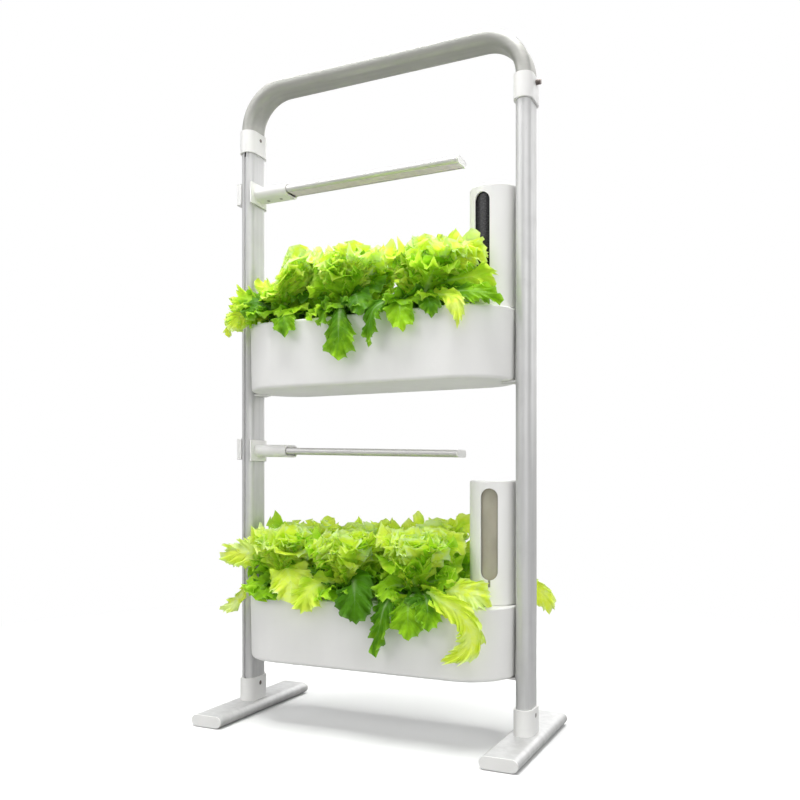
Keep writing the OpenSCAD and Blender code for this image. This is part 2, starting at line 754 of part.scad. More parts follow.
function unit(v) = v / norm(v);
function mean(v) = [for (c = [0:2]) (v[0][c] + v[1][c] + v[2][c] + v[3][c]) / 4];

// A thick strip along a leaf's path
module long_leaf(leaf) {
    path = leaf[3];
    last = len(path) - 1;
    out = [cos(leaf[0]), sin(leaf[0]), 0];
    wide = [cos(leaf[1]) * cos(leaf[2]), sin(leaf[1]) * cos(leaf[2]), sin(leaf[2])];
    spots = [for (p = path) out * p[0] + [0, 0, p[1]]];
    rings = [for (k = [0:last])
        let (along = unit(spots[min(k + 1, last)] - spots[max(k - 1, 0)]), face = unit(cross(along, wide)),
            w = wide * path[k][2], f = face * leaf_t * (k == last ? 0.3 : 0.5))
        [spots[k] - w - f, spots[k] + w - f, spots[k] + w + f, spots[k] - w + f]];
    skin(rings, mean(rings[0]), mean(rings[last]));
}

module lettuce(t, i) {
    rings = head_rings(t, i);
    tier = t == "upper" ? 1 : 0;
    top = max([for (p = rings[len(rings) - 1]) p[2]]);
    color(LEAF) translate([cup_x(i), cup_y(i), deck_top(t)]) {
        skin(rings, [0, 0, rings[0][0][2]], [CROWNS[tier][i][2], 0, top - 6]);
        for (leaf = LEAVES[tier][i]) long_leaf(leaf);
    }
}

// ---- water towers ----

// Ring on the lid with the tower's seat, its tube passes down through the lid
module tank_seat(t) {
    color(WHITE) translate([tower_x, tower_y, deck_top(t)]) difference() {
        union() {
            cylinder(r = ledge_r, h = ledge_h);
            cylinder(r = guide_r, h = guide_h);
            cylinder(r = seat_bore + 3.5, h = seat_ring_h);
            translate([0, 0, -deck_t - 3]) cylinder(r = seat_bore + 3.5, h = deck_t + 4);
        }
        difference() {
            translate([0, 0, ledge_h]) cylinder(r = guide_r - guide_t, h = seat_ring_h);
            cylinder(r = seat_bore + 3.5, h = seat_ring_h + 1);
        }
        translate([0, 0, -deck_t - 4]) cylinder(r = seat_bore, h = deck_t + seat_ring_h + 6);
    }
}

// Half section of the bottle, off by inset inside its wall
module tank_profile(inset) {
    r = tank_r - inset;
    low = seat_ring_h + inset;
    high = tank_top - inset;
    f = tank_round - inset;
    translate([0, low]) square([r, high - low - f]);
    translate([0, high - f - EPS]) square([r - f, f + EPS]);
    intersection() {
        translate([r - f, high - f]) circle(r = f);
        translate([0, low]) square([r, high]);
    }
    translate([0, -neck_drop - (inset > 0 ? 1 : 0)]) square([neck_r - inset, neck_drop + low + 2]);
}

module tank(t) {
    color([0.30, 0.30, 0.31]) translate([tower_x, tower_y, deck_top(t)]) rotate_extrude()
        difference() {
            tank_profile(0);
            tank_profile(tank_wall);
        }
}

module tank_cap(t) {
    color(WHITE) translate([tower_x, tower_y, deck_top(t) - neck_drop - cap_wall]) difference() {
        cylinder(r = cap_r, h = cap_h);
        translate([0, 0, cap_wall]) cylinder(r = neck_r + fit, h = cap_h);
        translate([0, 0, -1]) cylinder(r = outlet_r, h = cap_wall + 2);
    }
}

module window(w, h) {
    for (z = [w / 2, h - w / 2]) translate([0, 0, z]) rotate([90, 0, 0]) cylinder(r = w / 2, h = 2 * sleeve_r);
    translate([-w / 2, -2 * sleeve_r, w / 2]) cube([w, 2 * sleeve_r, h - w]);
}

module sleeve(t) {
    f = sleeve_round;
    bottom = ledge_h + slide_gap;
    color(WHITE) translate([tower_x, tower_y, deck_top(t)]) rotate(t == "upper" ? upper_turn : lower_turn)
        difference() {
            rotate_extrude() {
                translate([0, bottom]) square([sleeve_r, sleeve_h - f - bottom]);
                translate([0, sleeve_h - f - EPS]) square([sleeve_r - f, f + EPS]);
                intersection() {
                    translate([sleeve_r - f, sleeve_h - f]) circle(r = f);
                    square([sleeve_r, sleeve_h]);
                }
            }
            translate([0, 0, bottom - 1]) cylinder(r = sleeve_r - sleeve_wall, h = sleeve_h - sleeve_wall - bottom + 1);
            translate([0, 0, sleeve_h - window_top - window_h]) window(window_w, window_h);
            translate([-notch_w / 2, -2 * sleeve_r, sleeve_h - window_top - window_h - notch_h])
                cube([notch_w, 2 * sleeve_r, notch_h + window_w / 2]);
        }
}

// ---- lamps ----

// Places a lamp's pieces: x from the post's axis, tilted by the lamp's sag about the saddle
module at_lamp(t, tilted = true) {
    translate([-post_x, 0, lamp_z(t)]) translate([saddle_x, 0, 0])
        rotate([0, tilted ? (t == "upper" ? upper_sag : lower_sag) : 0, 0])
            translate([-saddle_x, 0, 0]) children();
}

// Saddle round the back of the post, with the neck that holds the bar
module lamp_bracket(t) {
    hole_d = post_depth + 2 * slide_gap;
    hole_w = post_width + 2 * slide_gap;
    color(WHITE) difference() {
        union() {
            at_lamp(t, false) {
                translate([0, 0, -saddle_h / 2]) linear_extrude(saddle_h) intersection() {
                    oval(hole_d + 2 * saddle_t, hole_w + 2 * saddle_t);
                    translate([-post_depth, post_depth / 2 - post_width / 2 - 2])
                        square([2 * post_depth, post_depth]);
                }
                translate([saddle_x, -saddle_front, -saddle_h / 2])
                    cube([saddle_t, saddle_front + post_depth / 2 - post_width / 2 - 1, saddle_h]);
                translate([-saddle_x - arm_t, 2, -saddle_h / 2])
                    cube([arm_t, post_depth / 2 - post_width / 2 - 3, saddle_h]);
            }
            at_lamp(t) translate([saddle_x + saddle_t / 2, 0, 0]) rotate([0, 90, 0]) rotate(0)
                linear_extrude(neck_len - saddle_t / 2) oval(neck_w, neck_t);
        }
        at_lamp(t, false) translate([0, 0, -saddle_h]) linear_extrude(2 * saddle_h) oval(hole_d, hole_w);
        at_lamp(t) {
            translate([neck_end - bar_hold, 0, 0]) rotate([0, 90, 0])
                linear_extrude(bar_hold + 1) oval(lamp_w + 2 * fit, lamp_t + 2 * fit);
            translate([neck_end - mouth_deep, 0, 0]) rotate([0, 90, 0])
                linear_extrude(mouth_deep + 1) oval(lamp_w + mouth_gap, lamp_t + 2 * mouth_gap);
            for (x = neck_screw_x) translate([saddle_x + x, 0, -neck_t])
                cylinder(r = neck_screw_r + fit, h = neck_t + 4);
            for (x = neck_screw_x) translate([saddle_x + x, 0, -neck_t])
                cylinder(r = neck_screw_r + 1.6, h = neck_t / 2 + 1.2);
        }
        at_lamp(t, false) for (z = [-9, 9]) translate([-saddle_x - arm_t - 1, 12, z]) rotate([0, 90, 0])
            cylinder(r = neck_screw_r + fit, h = arm_t + 2);
    }
}

// Clamp block on the post's outer side, screwed to the saddle's short arm
module lamp_clamp(t) {
    front = 1.2;
    color(WHITE) at_lamp(t, false) difference() {
        translate([-post_width / 2 - clamp_gap - clamp_t, -clamp_half, clamp_lift - saddle_h / 2]) {
            translate([0, 3, 0]) cube([clamp_t, clamp_half + front - 3, saddle_h]);
            translate([3, 0, 0]) cube([clamp_t - 3, clamp_half, saddle_h]);
            translate([3, 3, 0]) cylinder(r = 3, h = saddle_h);
            cube_back = clamp_t + clamp_gap - slide_gap - arm_t - fit;
            translate([0, clamp_half + front - EPS, 0]) cube([cube_back, arm_end - front, saddle_h]);
        }
        for (z = [-9, 9]) translate([-post_width - clamp_t, 12, z]) rotate([0, 90, 0]) {
            cylinder(r = neck_screw_r + fit, h = post_width + clamp_t);
            cylinder(r = neck_screw_r + 1.6, h = post_width / 2 - clamp_gap + 1.2);
        }
    }
}

// Lamp profile with a channel along its underside
module lamp_bar(t) {
    color(ALLOY) at_lamp(t) difference() {
        translate([neck_end - bar_hold + 1, 0, 0]) rotate([0, 90, 0])
            linear_extrude(lamp_len + bar_hold - 1) oval(lamp_w, lamp_t);
        translate([neck_end - bar_hold, -channel_w / 2, -lamp_t / 2 - 1])
            cube([lamp_len + bar_hold + 1, channel_w, channel_h + 1]);
        translate([saddle_x + neck_screw_x[1], 0, -lamp_t]) cylinder(r = neck_screw_r + fit, h = 2 * lamp_t);
    }
}

module led_board(t) {
    start = neck_end + 4;
    length = lamp_len - 8;
    count = floor(length / led_pitch);
    color([0.93, 0.93, 0.90]) at_lamp(t) {
        translate([start, -channel_w / 2 + 1, -lamp_t / 2 + channel_h - fit - board_t])
            cube([length, channel_w - 2, board_t]);
        for (k = [0:count - 1]) translate([start + led_pitch * (k + 0.5), 0,
            -lamp_t / 2 + channel_h - fit - board_t - led_t + EPS]) translate([-led_w / 2, -led_w / 2, 0])
            cube([led_w, led_w, led_t]);
    }
}

module lamp_diffuser(t) {
    color([0.72, 0.75, 0.72]) at_lamp(t)
        translate([neck_end + 1, -channel_w / 2 + fit, -lamp_t / 2 + lens_in])
            cube([lamp_len - 1.5, channel_w - 2 * fit, diffuser_t]);
}

module lamp_end_cap(t) {
    color(WHITE) at_lamp(t) translate([bar_end, 0, 0]) rotate([0, 90, 0])
        linear_extrude(lamp_cap) oval(lamp_w + 0.4, lamp_t + 0.4);
}

module lamp_screws(t) {
    color(STEEL) {
        at_lamp(t) {
            // two under the neck
            for (k = [0, 1]) translate([saddle_x + neck_screw_x[k], 0, -neck_t / 2 + 1.2]) mirror([0, 0, 1]) {
                cylinder(r = neck_screw_r + 1.3, h = 0.9);
                translate([0, 0, -neck_t / 2 - 1.5]) cylinder(r = neck_screw_r, h = neck_t / 2 + 1.6);
            }
        }
        // two in the clamp block
        at_lamp(t, false) for (z = [-9, 9])
            translate([-post_width / 2 - clamp_gap - clamp_t + 1.2, 12, z]) rotate([0, 90, 0]) {
                translate([0, 0, -1]) cylinder(r = neck_screw_r + 1.3, h = 1);
                translate([0, 0, -EPS]) cylinder(r = neck_screw_r, h = clamp_t + clamp_gap - slide_gap - 1.5);
            }
    }
}

// ---- the nodes ----

left_post();
right_post();
groove_strip();
top_rail();
left_collar();
right_collar();
left_socket();
right_socket();
left_foot();
right_foot();
foot_end_caps();
foot_pads();
foot_bolts();
frame_screws();
thumb_screw();
power_inlet();
bracket_screws();
brackets("lower");  // lower_brackets
brackets("upper");  // upper_brackets
planter("lower");  // lower_planter
planter("upper");  // upper_planter
deck("lower");  // lower_deck
deck("upper");  // upper_deck
net_cups("lower");  // lower_net_cups
net_cups("upper");  // upper_net_cups
tank_seat("lower");  // lower_tank_seat
tank_seat("upper");  // upper_tank_seat
tank("lower");  // lower_tank
tank("upper");  // upper_tank
tank_cap("lower");  // lower_tank_cap
tank_cap("upper");  // upper_tank_cap
sleeve("lower");  // lower_sleeve
sleeve("upper");  // upper_sleeve
lamp_bracket("lower");  // lower_lamp_bracket
lamp_bracket("upper");  // upper_lamp_bracket
lamp_clamp("lower");  // lower_lamp_clamp
lamp_clamp("upper");  // upper_lamp_clamp
lamp_bar("lower");  // lower_lamp_bar
lamp_bar("upper");  // upper_lamp_bar
led_board("lower");  // lower_led_board
led_board("upper");  // upper_led_board
lamp_diffuser("lower");  // lower_lamp_diffuser
lamp_diffuser("upper");  // upper_lamp_diffuser
lamp_end_cap("lower");  // lower_lamp_end_cap
lamp_end_cap("upper");  // upper_lamp_end_cap
lamp_screws("lower");  // lower_lamp_screws
lamp_screws("upper");  // upper_lamp_screws
lettuce("lower", 0);  // lower_lettuce_1
lettuce("lower", 1);  // lower_lettuce_2
lettuce("lower", 2);  // lower_lettuce_3
lettuce("lower", 3);  // lower_lettuce_4
lettuce("lower", 4);  // lower_lettuce_5
lettuce("lower", 5);  // lower_lettuce_6
lettuce("upper", 0);  // upper_lettuce_1
lettuce("upper", 1);  // upper_lettuce_2
lettuce("upper", 2);  // upper_lettuce_3
lettuce("upper", 3);  // upper_lettuce_4
lettuce("upper", 4);  // upper_lettuce_5
lettuce("upper", 5);  // upper_lettuce_6
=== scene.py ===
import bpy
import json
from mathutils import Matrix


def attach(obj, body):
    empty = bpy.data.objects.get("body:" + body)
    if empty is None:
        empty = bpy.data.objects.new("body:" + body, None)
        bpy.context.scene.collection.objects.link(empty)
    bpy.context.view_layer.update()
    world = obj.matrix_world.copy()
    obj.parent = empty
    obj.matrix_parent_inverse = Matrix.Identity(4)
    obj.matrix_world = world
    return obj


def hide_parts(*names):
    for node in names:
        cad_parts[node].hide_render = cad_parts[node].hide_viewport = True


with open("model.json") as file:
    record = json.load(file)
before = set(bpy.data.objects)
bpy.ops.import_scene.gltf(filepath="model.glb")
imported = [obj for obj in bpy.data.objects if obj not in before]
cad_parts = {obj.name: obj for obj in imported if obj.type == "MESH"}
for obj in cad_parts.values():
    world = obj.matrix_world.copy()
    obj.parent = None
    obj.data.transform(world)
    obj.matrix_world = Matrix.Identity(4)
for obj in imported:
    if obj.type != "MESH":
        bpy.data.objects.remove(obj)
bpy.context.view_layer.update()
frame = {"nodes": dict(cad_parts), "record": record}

import json
import math

import bpy
import numpy as np
from mathutils import Vector

# The solids are the stand, the planters, the towers and the lamps. This script gives them their
# materials, grows each lettuce as separate thin leaves, and adds camera, lights and floor.

NODES = frame["nodes"]
TIERS = ["lower", "upper"]
MM = 0.001

# ---------------------------------------------------------------- the part's own measures, mm

POST_X = 250.0                                  # post axes, left and right of the middle
DECK_TOP = {"lower": 213.5, "upper": 664.8}     # top of each planter's lid
CUP_X = [-162.0, -38.0, 86.0]                   # plant columns
CUP_Y = [-40.0, 32.0]                           # plant rows, front and back
BED_Y = -4.0                                    # centre line of the planters
RIM_R = 77.0                                    # radius of the planters' round ends
END_X = 236.0                                   # half the planters' length
TOWER = (196.5, 5.0)                            # axis of the water towers
SEAT_R = 39.1                                   # radius that a tower and its seat take up
LEAF_H = {"lower": 136.0, "upper": 138.0}       # height of the heads above the lid


# ---------------------------------------------------------------- node graph helpers

BEVEL_SAMPLES = 4


class Graph:
    """A short way to write a node tree."""

    def __init__(self, tree):
        self.tree = tree
        self.tree.nodes.clear()

    def add(self, kind, inputs=None, **props):
        node = self.tree.nodes.new(kind)
        for k, v in props.items():
            setattr(node, k, v)
        for k, v in (inputs or {}).items():
            self.put(node.inputs[k], v)
        return node

    def put(self, socket, v):
        """Links v, a socket or a node, to the socket, or sets the socket to the value v."""
        if isinstance(v, bpy.types.NodeSocket):
            self.tree.links.new(v, socket)
        elif isinstance(v, bpy.types.Node):
            self.tree.links.new(v.outputs[0], socket)
        elif isinstance(v, (tuple, list)) and socket.type == "RGBA" and len(v) == 3:
            socket.default_value = (*v, 1.0)
        else:
            socket.default_value = v

    def math(self, op, a, b=0.0, clamp=False):
        n = self.add("ShaderNodeMath", operation=op, use_clamp=clamp)
        self.put(n.inputs[0], a)
        self.put(n.inputs[1], b)
        return n.outputs[0]

    def times(self, a, b):
        return self.math("MULTIPLY", a, b)

    def plus(self, total, *terms):
        for term in terms:
            total = self.math("ADD", total, term)
        return total

    def remap(self, v, lo, hi, to_lo=0.0, to_hi=1.0, smooth=False):
        n = self.add("ShaderNodeMapRange", interpolation_type="SMOOTHSTEP" if smooth else "LINEAR")
        names = ("Value", "From Min", "From Max", "To Min", "To Max")
        for k, x in zip(names, (v, lo, hi, to_lo, to_hi)):
            self.put(n.inputs[k], x)
        return n.outputs[0]

    def mix(self, fac, a, b):
        n = self.add("ShaderNodeMix", data_type="RGBA", blend_type="MIX")
        factor, colour_a, colour_b, result = 0, 6, 7, 2     # sockets of its colour mode
        self.put(n.inputs[factor], fac)
        self.put(n.inputs[colour_a], a)
        self.put(n.inputs[colour_b], b)
        return n.outputs[result]

    def mix_shader(self, fac, a, b):
        return self.add("ShaderNodeMixShader", {0: fac, 1: a, 2: b}).outputs[0]

    def noise(self, vector, scale, detail=3.0, rough=0.5, distort=0.0):
        return self.add("ShaderNodeTexNoise", {
            "Vector": vector, "Scale": scale, "Detail": detail, "Roughness": rough,
            "Distortion": distort}).outputs[0]

    def waves(self, vector, scale, axis):
        return self.add("ShaderNodeTexWave", {"Vector": vector, "Scale": scale, "Distortion": 0.0},
                        bands_direction=axis).outputs[1]

    def stretched(self, vector, x, y, z):
        return self.add("ShaderNodeMapping", {"Vector": vector, "Scale": (x, y, z)}).outputs[0]

    def rounded(self, radius):
        """Normals that soften the edges to a radius in metres."""
        return self.add("ShaderNodeBevel", {"Radius": radius}, samples=BEVEL_SAMPLES).outputs[0]

    def bump(self, height, strength, distance, normal=None):
        n = self.add("ShaderNodeBump", {"Strength": strength, "Distance": distance,
                                        "Height": height})
        if normal is not None:
            self.put(n.inputs["Normal"], normal)
        return n.outputs[0]

    def principled(self, inputs):
        """A principled surface, straight to the material's output."""
        p = self.add("ShaderNodeBsdfPrincipled", inputs)
        self.add("ShaderNodeOutputMaterial", {"Surface": p.outputs[0]})


def new_material(name):
    """Material, its graph and the object's own coordinates."""
    m = bpy.data.materials.new(name)
    m.use_nodes = True
    g = Graph(m.node_tree)
    return m, g, g.add("ShaderNodeTexCoord").outputs["Object"]


def scaled(colour, k):
    return tuple(c * k for c in colour)


# ---------------------------------------------------------------- materials

def plastic(name, colour, rough):
    """Moulded plastic: fine spark-eroded grain, faint flow marks, rubbed patches, soft edges."""
    m, g, at = new_material(name)
    grain = g.noise(at, scale=1500, detail=2)
    flow = g.noise(g.stretched(at, 1, 1, 0.35), scale=9, detail=3, rough=0.6)
    smear = g.noise(at, scale=38, detail=4, rough=0.62)
    normal = g.bump(grain, strength=0.35, distance=0.00002, normal=g.rounded(0.0008))
    normal = g.bump(flow, strength=0.12, distance=0.0004, normal=normal)
    base = g.mix(g.remap(flow, 0.36, 0.66, smooth=True), colour, scaled(colour, 0.955))
    base = g.mix(g.remap(smear, 0.55, 0.8, 0.0, 0.35), base, scaled(colour, 0.93))
    g.principled({
        "Base Color": base, "Roughness": g.remap(smear, 0.3, 0.75, rough - 0.05, rough + 0.09),
        "IOR": 1.5, "Specular IOR Level": 0.5, "Normal": normal})
    return m


def anodised(name, colour, rough, metal, streak=1.0, along="z"):
    """Extruded anodised aluminium: die lines along the profile, soft mottling, handling marks."""
    m, g, at = new_material(name)

    def drawn(k):
        """Coordinates that draw noise out into lines along the profile."""
        return g.stretched(at, *((k, 1, 1) if along == "x" else (1, 1, k)))

    lines = g.noise(drawn(0.008), scale=900, detail=3, rough=0.65)
    band = g.noise(drawn(0.05), scale=75, detail=3, rough=0.6)
    mottle = g.noise(at, scale=26, detail=5, rough=0.62)
    marks = g.noise(g.stretched(at, 1, 1, 0.3), scale=210, detail=2, rough=0.5)
    normal = g.bump(lines, strength=0.16 * streak, distance=0.00006, normal=g.rounded(0.0006))
    normal = g.bump(band, strength=0.10 * streak, distance=0.0003, normal=normal)
    dark = scaled(colour, 0.86)
    base = g.mix(g.times(g.remap(band, 0.35, 0.68, smooth=True), 0.8), colour, dark)
    base = g.mix(g.remap(mottle, 0.48, 0.74, 0.0, 0.5), base, dark)
    base = g.mix(g.remap(marks, 0.70, 0.78, 0.0, 0.35), base, scaled(colour, 0.72))
    g.principled({
        "Base Color": base, "Metallic": metal,
        "Roughness": g.plus(g.remap(lines, 0.3, 0.7, rough - 0.05, rough + 0.06),
                            g.remap(mottle, 0.45, 0.75, 0.0, 0.08)),
        "Normal": normal, "Anisotropic": 0.25 * streak})
    return m


def steel(name, colour, rough):
    """Plated screw steel, a little worn."""
    m, g, at = new_material(name)
    fine = g.noise(at, scale=1200, detail=3)
    worn = g.noise(at, scale=160, detail=3, rough=0.6)
    g.principled({
        "Base Color": g.mix(g.remap(worn, 0.4, 0.7), colour, scaled(colour, 0.8)),
        "Metallic": 1.0, "Roughness": g.remap(worn, 0.3, 0.7, rough - 0.06, rough + 0.1),
        "Normal": g.bump(fine, strength=0.2, distance=0.00003, normal=g.rounded(0.0003))})
    return m


def bottle(name, colour, rough, depth):
    """Blow-moulded bottle wall: glossy, slightly wavy, a little light inside it. depth is the
    shade of its thicker parts as a share of the colour."""
    m, g, at = new_material(name)
    wave = g.noise(g.stretched(at, 1, 1, 0.5), scale=42, detail=2, rough=0.5)
    dust = g.noise(at, scale=420, detail=4, rough=0.6)
    base = g.mix(g.remap(wave, 0.35, 0.7), colour, scaled(colour, depth))
    dusty = tuple(min(1, c * 1.5 + 0.003) for c in colour)
    g.principled({
        "Base Color": g.mix(g.remap(dust, 0.62, 0.8, 0.0, 0.3), base, dusty),
        "Roughness": g.remap(dust, 0.4, 0.8, rough, rough + 0.16), "IOR": 1.5,
        "Specular IOR Level": 0.26, "Coat Weight": 0.05, "Coat Roughness": 0.08,
        "Subsurface Weight": 0.05, "Subsurface Scale": 0.004,
        "Normal": g.bump(wave, strength=0.30, distance=0.0008, normal=g.rounded(0.0008))})
    return m


def rubber(name, colour):
    m, g, at = new_material(name)
    grain = g.noise(at, scale=900, detail=4)
    patch = g.noise(at, scale=60, detail=3)
    g.principled({
        "Base Color": g.mix(g.remap(patch, 0.4, 0.7), colour, scaled(colour, 1.5)),
        "Roughness": g.remap(patch, 0.3, 0.7, 0.72, 0.9), "Specular IOR Level": 0.3,
        "Normal": g.bump(grain, strength=0.4, distance=0.00008)})
    return m


def lens(name, colour):
    """Frosted lamp cover: fine prism lines along it and a paler spot over each diode."""
    m, g, at = new_material(name)
    ribs = g.waves(g.stretched(at, 0, 1, 0), 180, "Y")
    spots = g.waves(g.stretched(at, 1, 0, 0), 20.8, "X")
    haze = g.noise(at, scale=70, detail=3)
    bright = tuple(min(1, c * 1.25) for c in colour)
    base = g.mix(g.remap(spots, 0.55, 1.0, 0.0, 0.22), colour, bright)
    g.principled({
        "Base Color": g.mix(g.remap(haze, 0.4, 0.7, 0.0, 0.4), base, scaled(colour, 0.9)),
        "Roughness": g.remap(haze, 0.3, 0.7, 0.32, 0.48), "IOR": 1.49,
        "Normal": g.bump(ribs, strength=0.3, distance=0.00015)})
    return m


def leaf_material(name, lime, green, deep, pale, glow):
    """Lettuce blade. Its UV map has u from stalk to tip and v from edge to edge, and the mesh's
    tone goes from 0 for dark green to 1 for lime: partly a leaf's own age and partly painted light
    and shade, lime on the lit crown and dark green on the low leaves in shade."""
    m, g, at = new_material(name)
    blade_uv = g.add("ShaderNodeSeparateXYZ", {
        "Vector": g.add("ShaderNodeUVMap", uv_map="blade").outputs[0]})
    along, side = blade_uv.outputs[0], blade_uv.outputs[1]
    across = g.times(g.math("ABSOLUTE", g.math("SUBTRACT", side, 0.5)), 2.0)
    tone = g.add("ShaderNodeAttribute", attribute_name="tone",
                 attribute_type="GEOMETRY").outputs["Fac"]
    blotch = g.noise(at, scale=34, detail=3, rough=0.55)
    fine = g.noise(at, scale=210, detail=3, rough=0.6)

    # side veins run along the mesh's swept ribs and fade before the edge, twigs start later
    wobble = g.times(g.math("SUBTRACT", g.noise(at, scale=85, detail=2), 0.5), 0.09)
    phase = g.plus(along, wobble)

    def lines(rate, width):
        wave = g.math("ABSOLUTE", g.math("SINE", g.times(phase, rate)))
        return g.remap(wave, 0.0, width, 1.0, 0.0)

    vein = g.times(lines(27.0, 0.24), g.remap(across, 0.1, 0.92, 1.0, 0.0))
    twig = g.times(lines(81.0, 0.3), g.remap(across, 0.15, 0.6, 0.0, 1.0))
    cells = g.add("ShaderNodeTexVoronoi", {"Vector": at, "Scale": 190.0, "Randomness": 1.0},
                  feature="DISTANCE_TO_EDGE").outputs[0]
    net = g.remap(cells, 0.0, 0.16, 1.0, 0.0)
    rib_width = g.remap(along, 0.0, 0.9, 0.42, 0.05)
    rib = g.math("POWER", g.remap(across, 0.0, rib_width, 1.0, 0.0), 1.4)
    rib = g.times(rib, g.remap(along, 0.2, 0.9, 1.0, 0.2))

    # deep green to green to lime: by tone, which is partly painted light and shade, in blotches,
    # and lighter at the edge and towards the tip
    freshness_and_light = g.plus(g.times(tone, 0.95), g.times(g.math("SUBTRACT", blotch, 0.5), 0.8),
                   g.remap(across, 0.2, 1.0, -0.06, 0.10), g.remap(along, 0.25, 0.8, -0.22, 0.06))
    colour = g.mix(g.remap(freshness_and_light, 0.0, 0.5, smooth=True), deep, green)
    colour = g.mix(g.remap(freshness_and_light, 0.34, 0.88, smooth=True), colour, lime)

    # pale net and veins, and painted highlights on the rim and on the crests, most on young
    # leaves, and the midrib on all
    # painted highlight: the edge paled towards the tip, standing in for the sheen of light
    rim = g.times(g.remap(across, 0.74, 1.0, 0.0, 0.60, smooth=True), g.remap(along, 0.4, 0.9))
    # painted highlight: pale patches on the crests of the blotch noise, standing in for the sheen
    # of light
    painted_crest_highlight = g.times(g.remap(blotch, 0.46, 0.62, 0.0, 0.70, smooth=True),
                    g.remap(along, 0.45, 0.85))
    whiten = g.plus(g.times(net, 0.06), g.times(vein, 0.30), g.times(twig, 0.09),
                    g.times(painted_crest_highlight, g.remap(tone, 0.6, 1.0)), rim)
    whiten = g.times(whiten, g.remap(tone, 0.45, 1.0, 0.15, 1.0))
    whiten = g.math("ADD", whiten, g.times(rib, 0.6), clamp=True)
    colour = g.mix(whiten, colour, pale)

    blister = g.plus(g.times(blotch, 0.9), g.times(fine, 0.35), g.times(vein, -0.4))
    normal = g.bump(blister, strength=0.6, distance=0.0018)
    surface = g.add("ShaderNodeBsdfPrincipled", {
        "Base Color": colour, "Roughness": g.remap(fine, 0.3, 0.7, 0.34, 0.54), "IOR": 1.4,
        "Specular IOR Level": 0.24, "Normal": normal})
    through = g.add("ShaderNodeBsdfTranslucent", {
        "Color": g.mix(g.remap(tone, 0.2, 1.0, 0.08, 0.62), colour, glow), "Normal": normal})
    share_through = 0.42
    g.add("ShaderNodeOutputMaterial", {
        "Surface": g.mix_shader(share_through, surface.outputs[0], through.outputs[0])})
    return m


def coir_material(name):
    """Brown fibre of the root plugs."""
    m, g, at = new_material(name)
    fibre = g.noise(g.stretched(at, 1, 1, 3), scale=300, detail=5, rough=0.7, distort=1.5)
    lump = g.noise(at, scale=120, detail=4)
    wet, dry = (0.05, 0.032, 0.018), (0.21, 0.15, 0.09)
    g.principled({
        "Base Color": g.mix(g.remap(fibre, 0.35, 0.7), wet, dry), "Roughness": 0.95,
        "Normal": g.bump(g.plus(fibre, lump), strength=0.8, distance=0.0015)})
    return m


# one material per slot of the record: colour, then roughness
MAT = {
    "anodised_tube": anodised("anodised_tube", (0.63, 0.63, 0.625), 0.50, metal=0.6),
    "rail_alloy": anodised("rail_alloy", (0.45, 0.45, 0.42), 0.56, metal=0.55, streak=0.35,
                           along="x"),
    "lamp_alloy": anodised("lamp_alloy", (0.72, 0.71, 0.70), 0.48, metal=0.6, streak=0.5,
                           along="x"),
    "white_plastic": plastic("white_plastic", (0.86, 0.855, 0.835), 0.42),
    "black_plastic": plastic("black_plastic", (0.022, 0.022, 0.024), 0.45),
    "grip_rubber": rubber("grip_rubber", (0.030, 0.030, 0.032)),
    "screw_steel": steel("screw_steel", (0.42, 0.42, 0.43), 0.32),
    "screw_dark": steel("screw_dark", (0.22, 0.19, 0.175), 0.42),
    "strip_grey": plastic("strip_grey", (0.50, 0.49, 0.50), 0.48),
    "bracket_steel": plastic("bracket_steel", (0.74, 0.74, 0.72), 0.45),
    "tank_dark": bottle("tank_dark", (0.019, 0.019, 0.021), 0.22, depth=0.75),
    "tank_light": bottle("tank_light", (0.42, 0.395, 0.31), 0.16, depth=0.82),
    "board": plastic("board", (0.62, 0.66, 0.60), 0.5),
    "diffuser": lens("diffuser", (0.76, 0.655, 0.80)),
}
LEAF = leaf_material("lettuce_blade", lime=(0.86, 1.0, 0.085), green=(0.42, 0.80, 0.014),
                     deep=(0.080, 0.265, 0.002), pale=(0.84, 1.0, 0.60), glow=(0.80, 1.0, 0.08))
COIR = coir_material("coir")

for part in frame["record"]["subparts"]:
    if part["material_slot"] in MAT:
        data = NODES[part["node"]].data
        data.materials.clear()
        data.materials.append(MAT[part["material_slot"]])


# ---------------------------------------------------------------- one leaf, mm

CURVE_STEPS = 14        # steps of a curve between two of its given points
MID_STEPS = 60          # steps along a leaf's midrib
NV = 8                  # faces from the midrib to the edge
LOBE_STEPS = 8          # rows of faces in one lobe of the edge
LOBE_LENGTH = (11.0, 19.0)              # range, before it shrinks towards the tip
LOBES_FROM, LOBES_TO = 0.17, 0.975      # shares of the leaf's length
STALK_ROWS = [0.0, 0.05, 0.10, 0.15]    # rows before the first lobe, as shares of the length
STALK, TIP = -1, -2     # lobe numbers of the rows that lie in no lobe
TIP_FROM, TIP_PART = 0.80, 0.20         # the blade narrows to its tip over this last part
ROUND = 6.28            # end of the range of a random phase


def smooth01(x):
    x = np.clip(x, 0, 1)
    return x * x * (3 - 2 * x)


def path_length(points):
    """Distance along the polyline from its first point to each of the points."""
    steps = np.linalg.norm(np.diff(np.asarray(points, float), axis=0), axis=1)
    return np.concatenate([[0], np.cumsum(steps)])


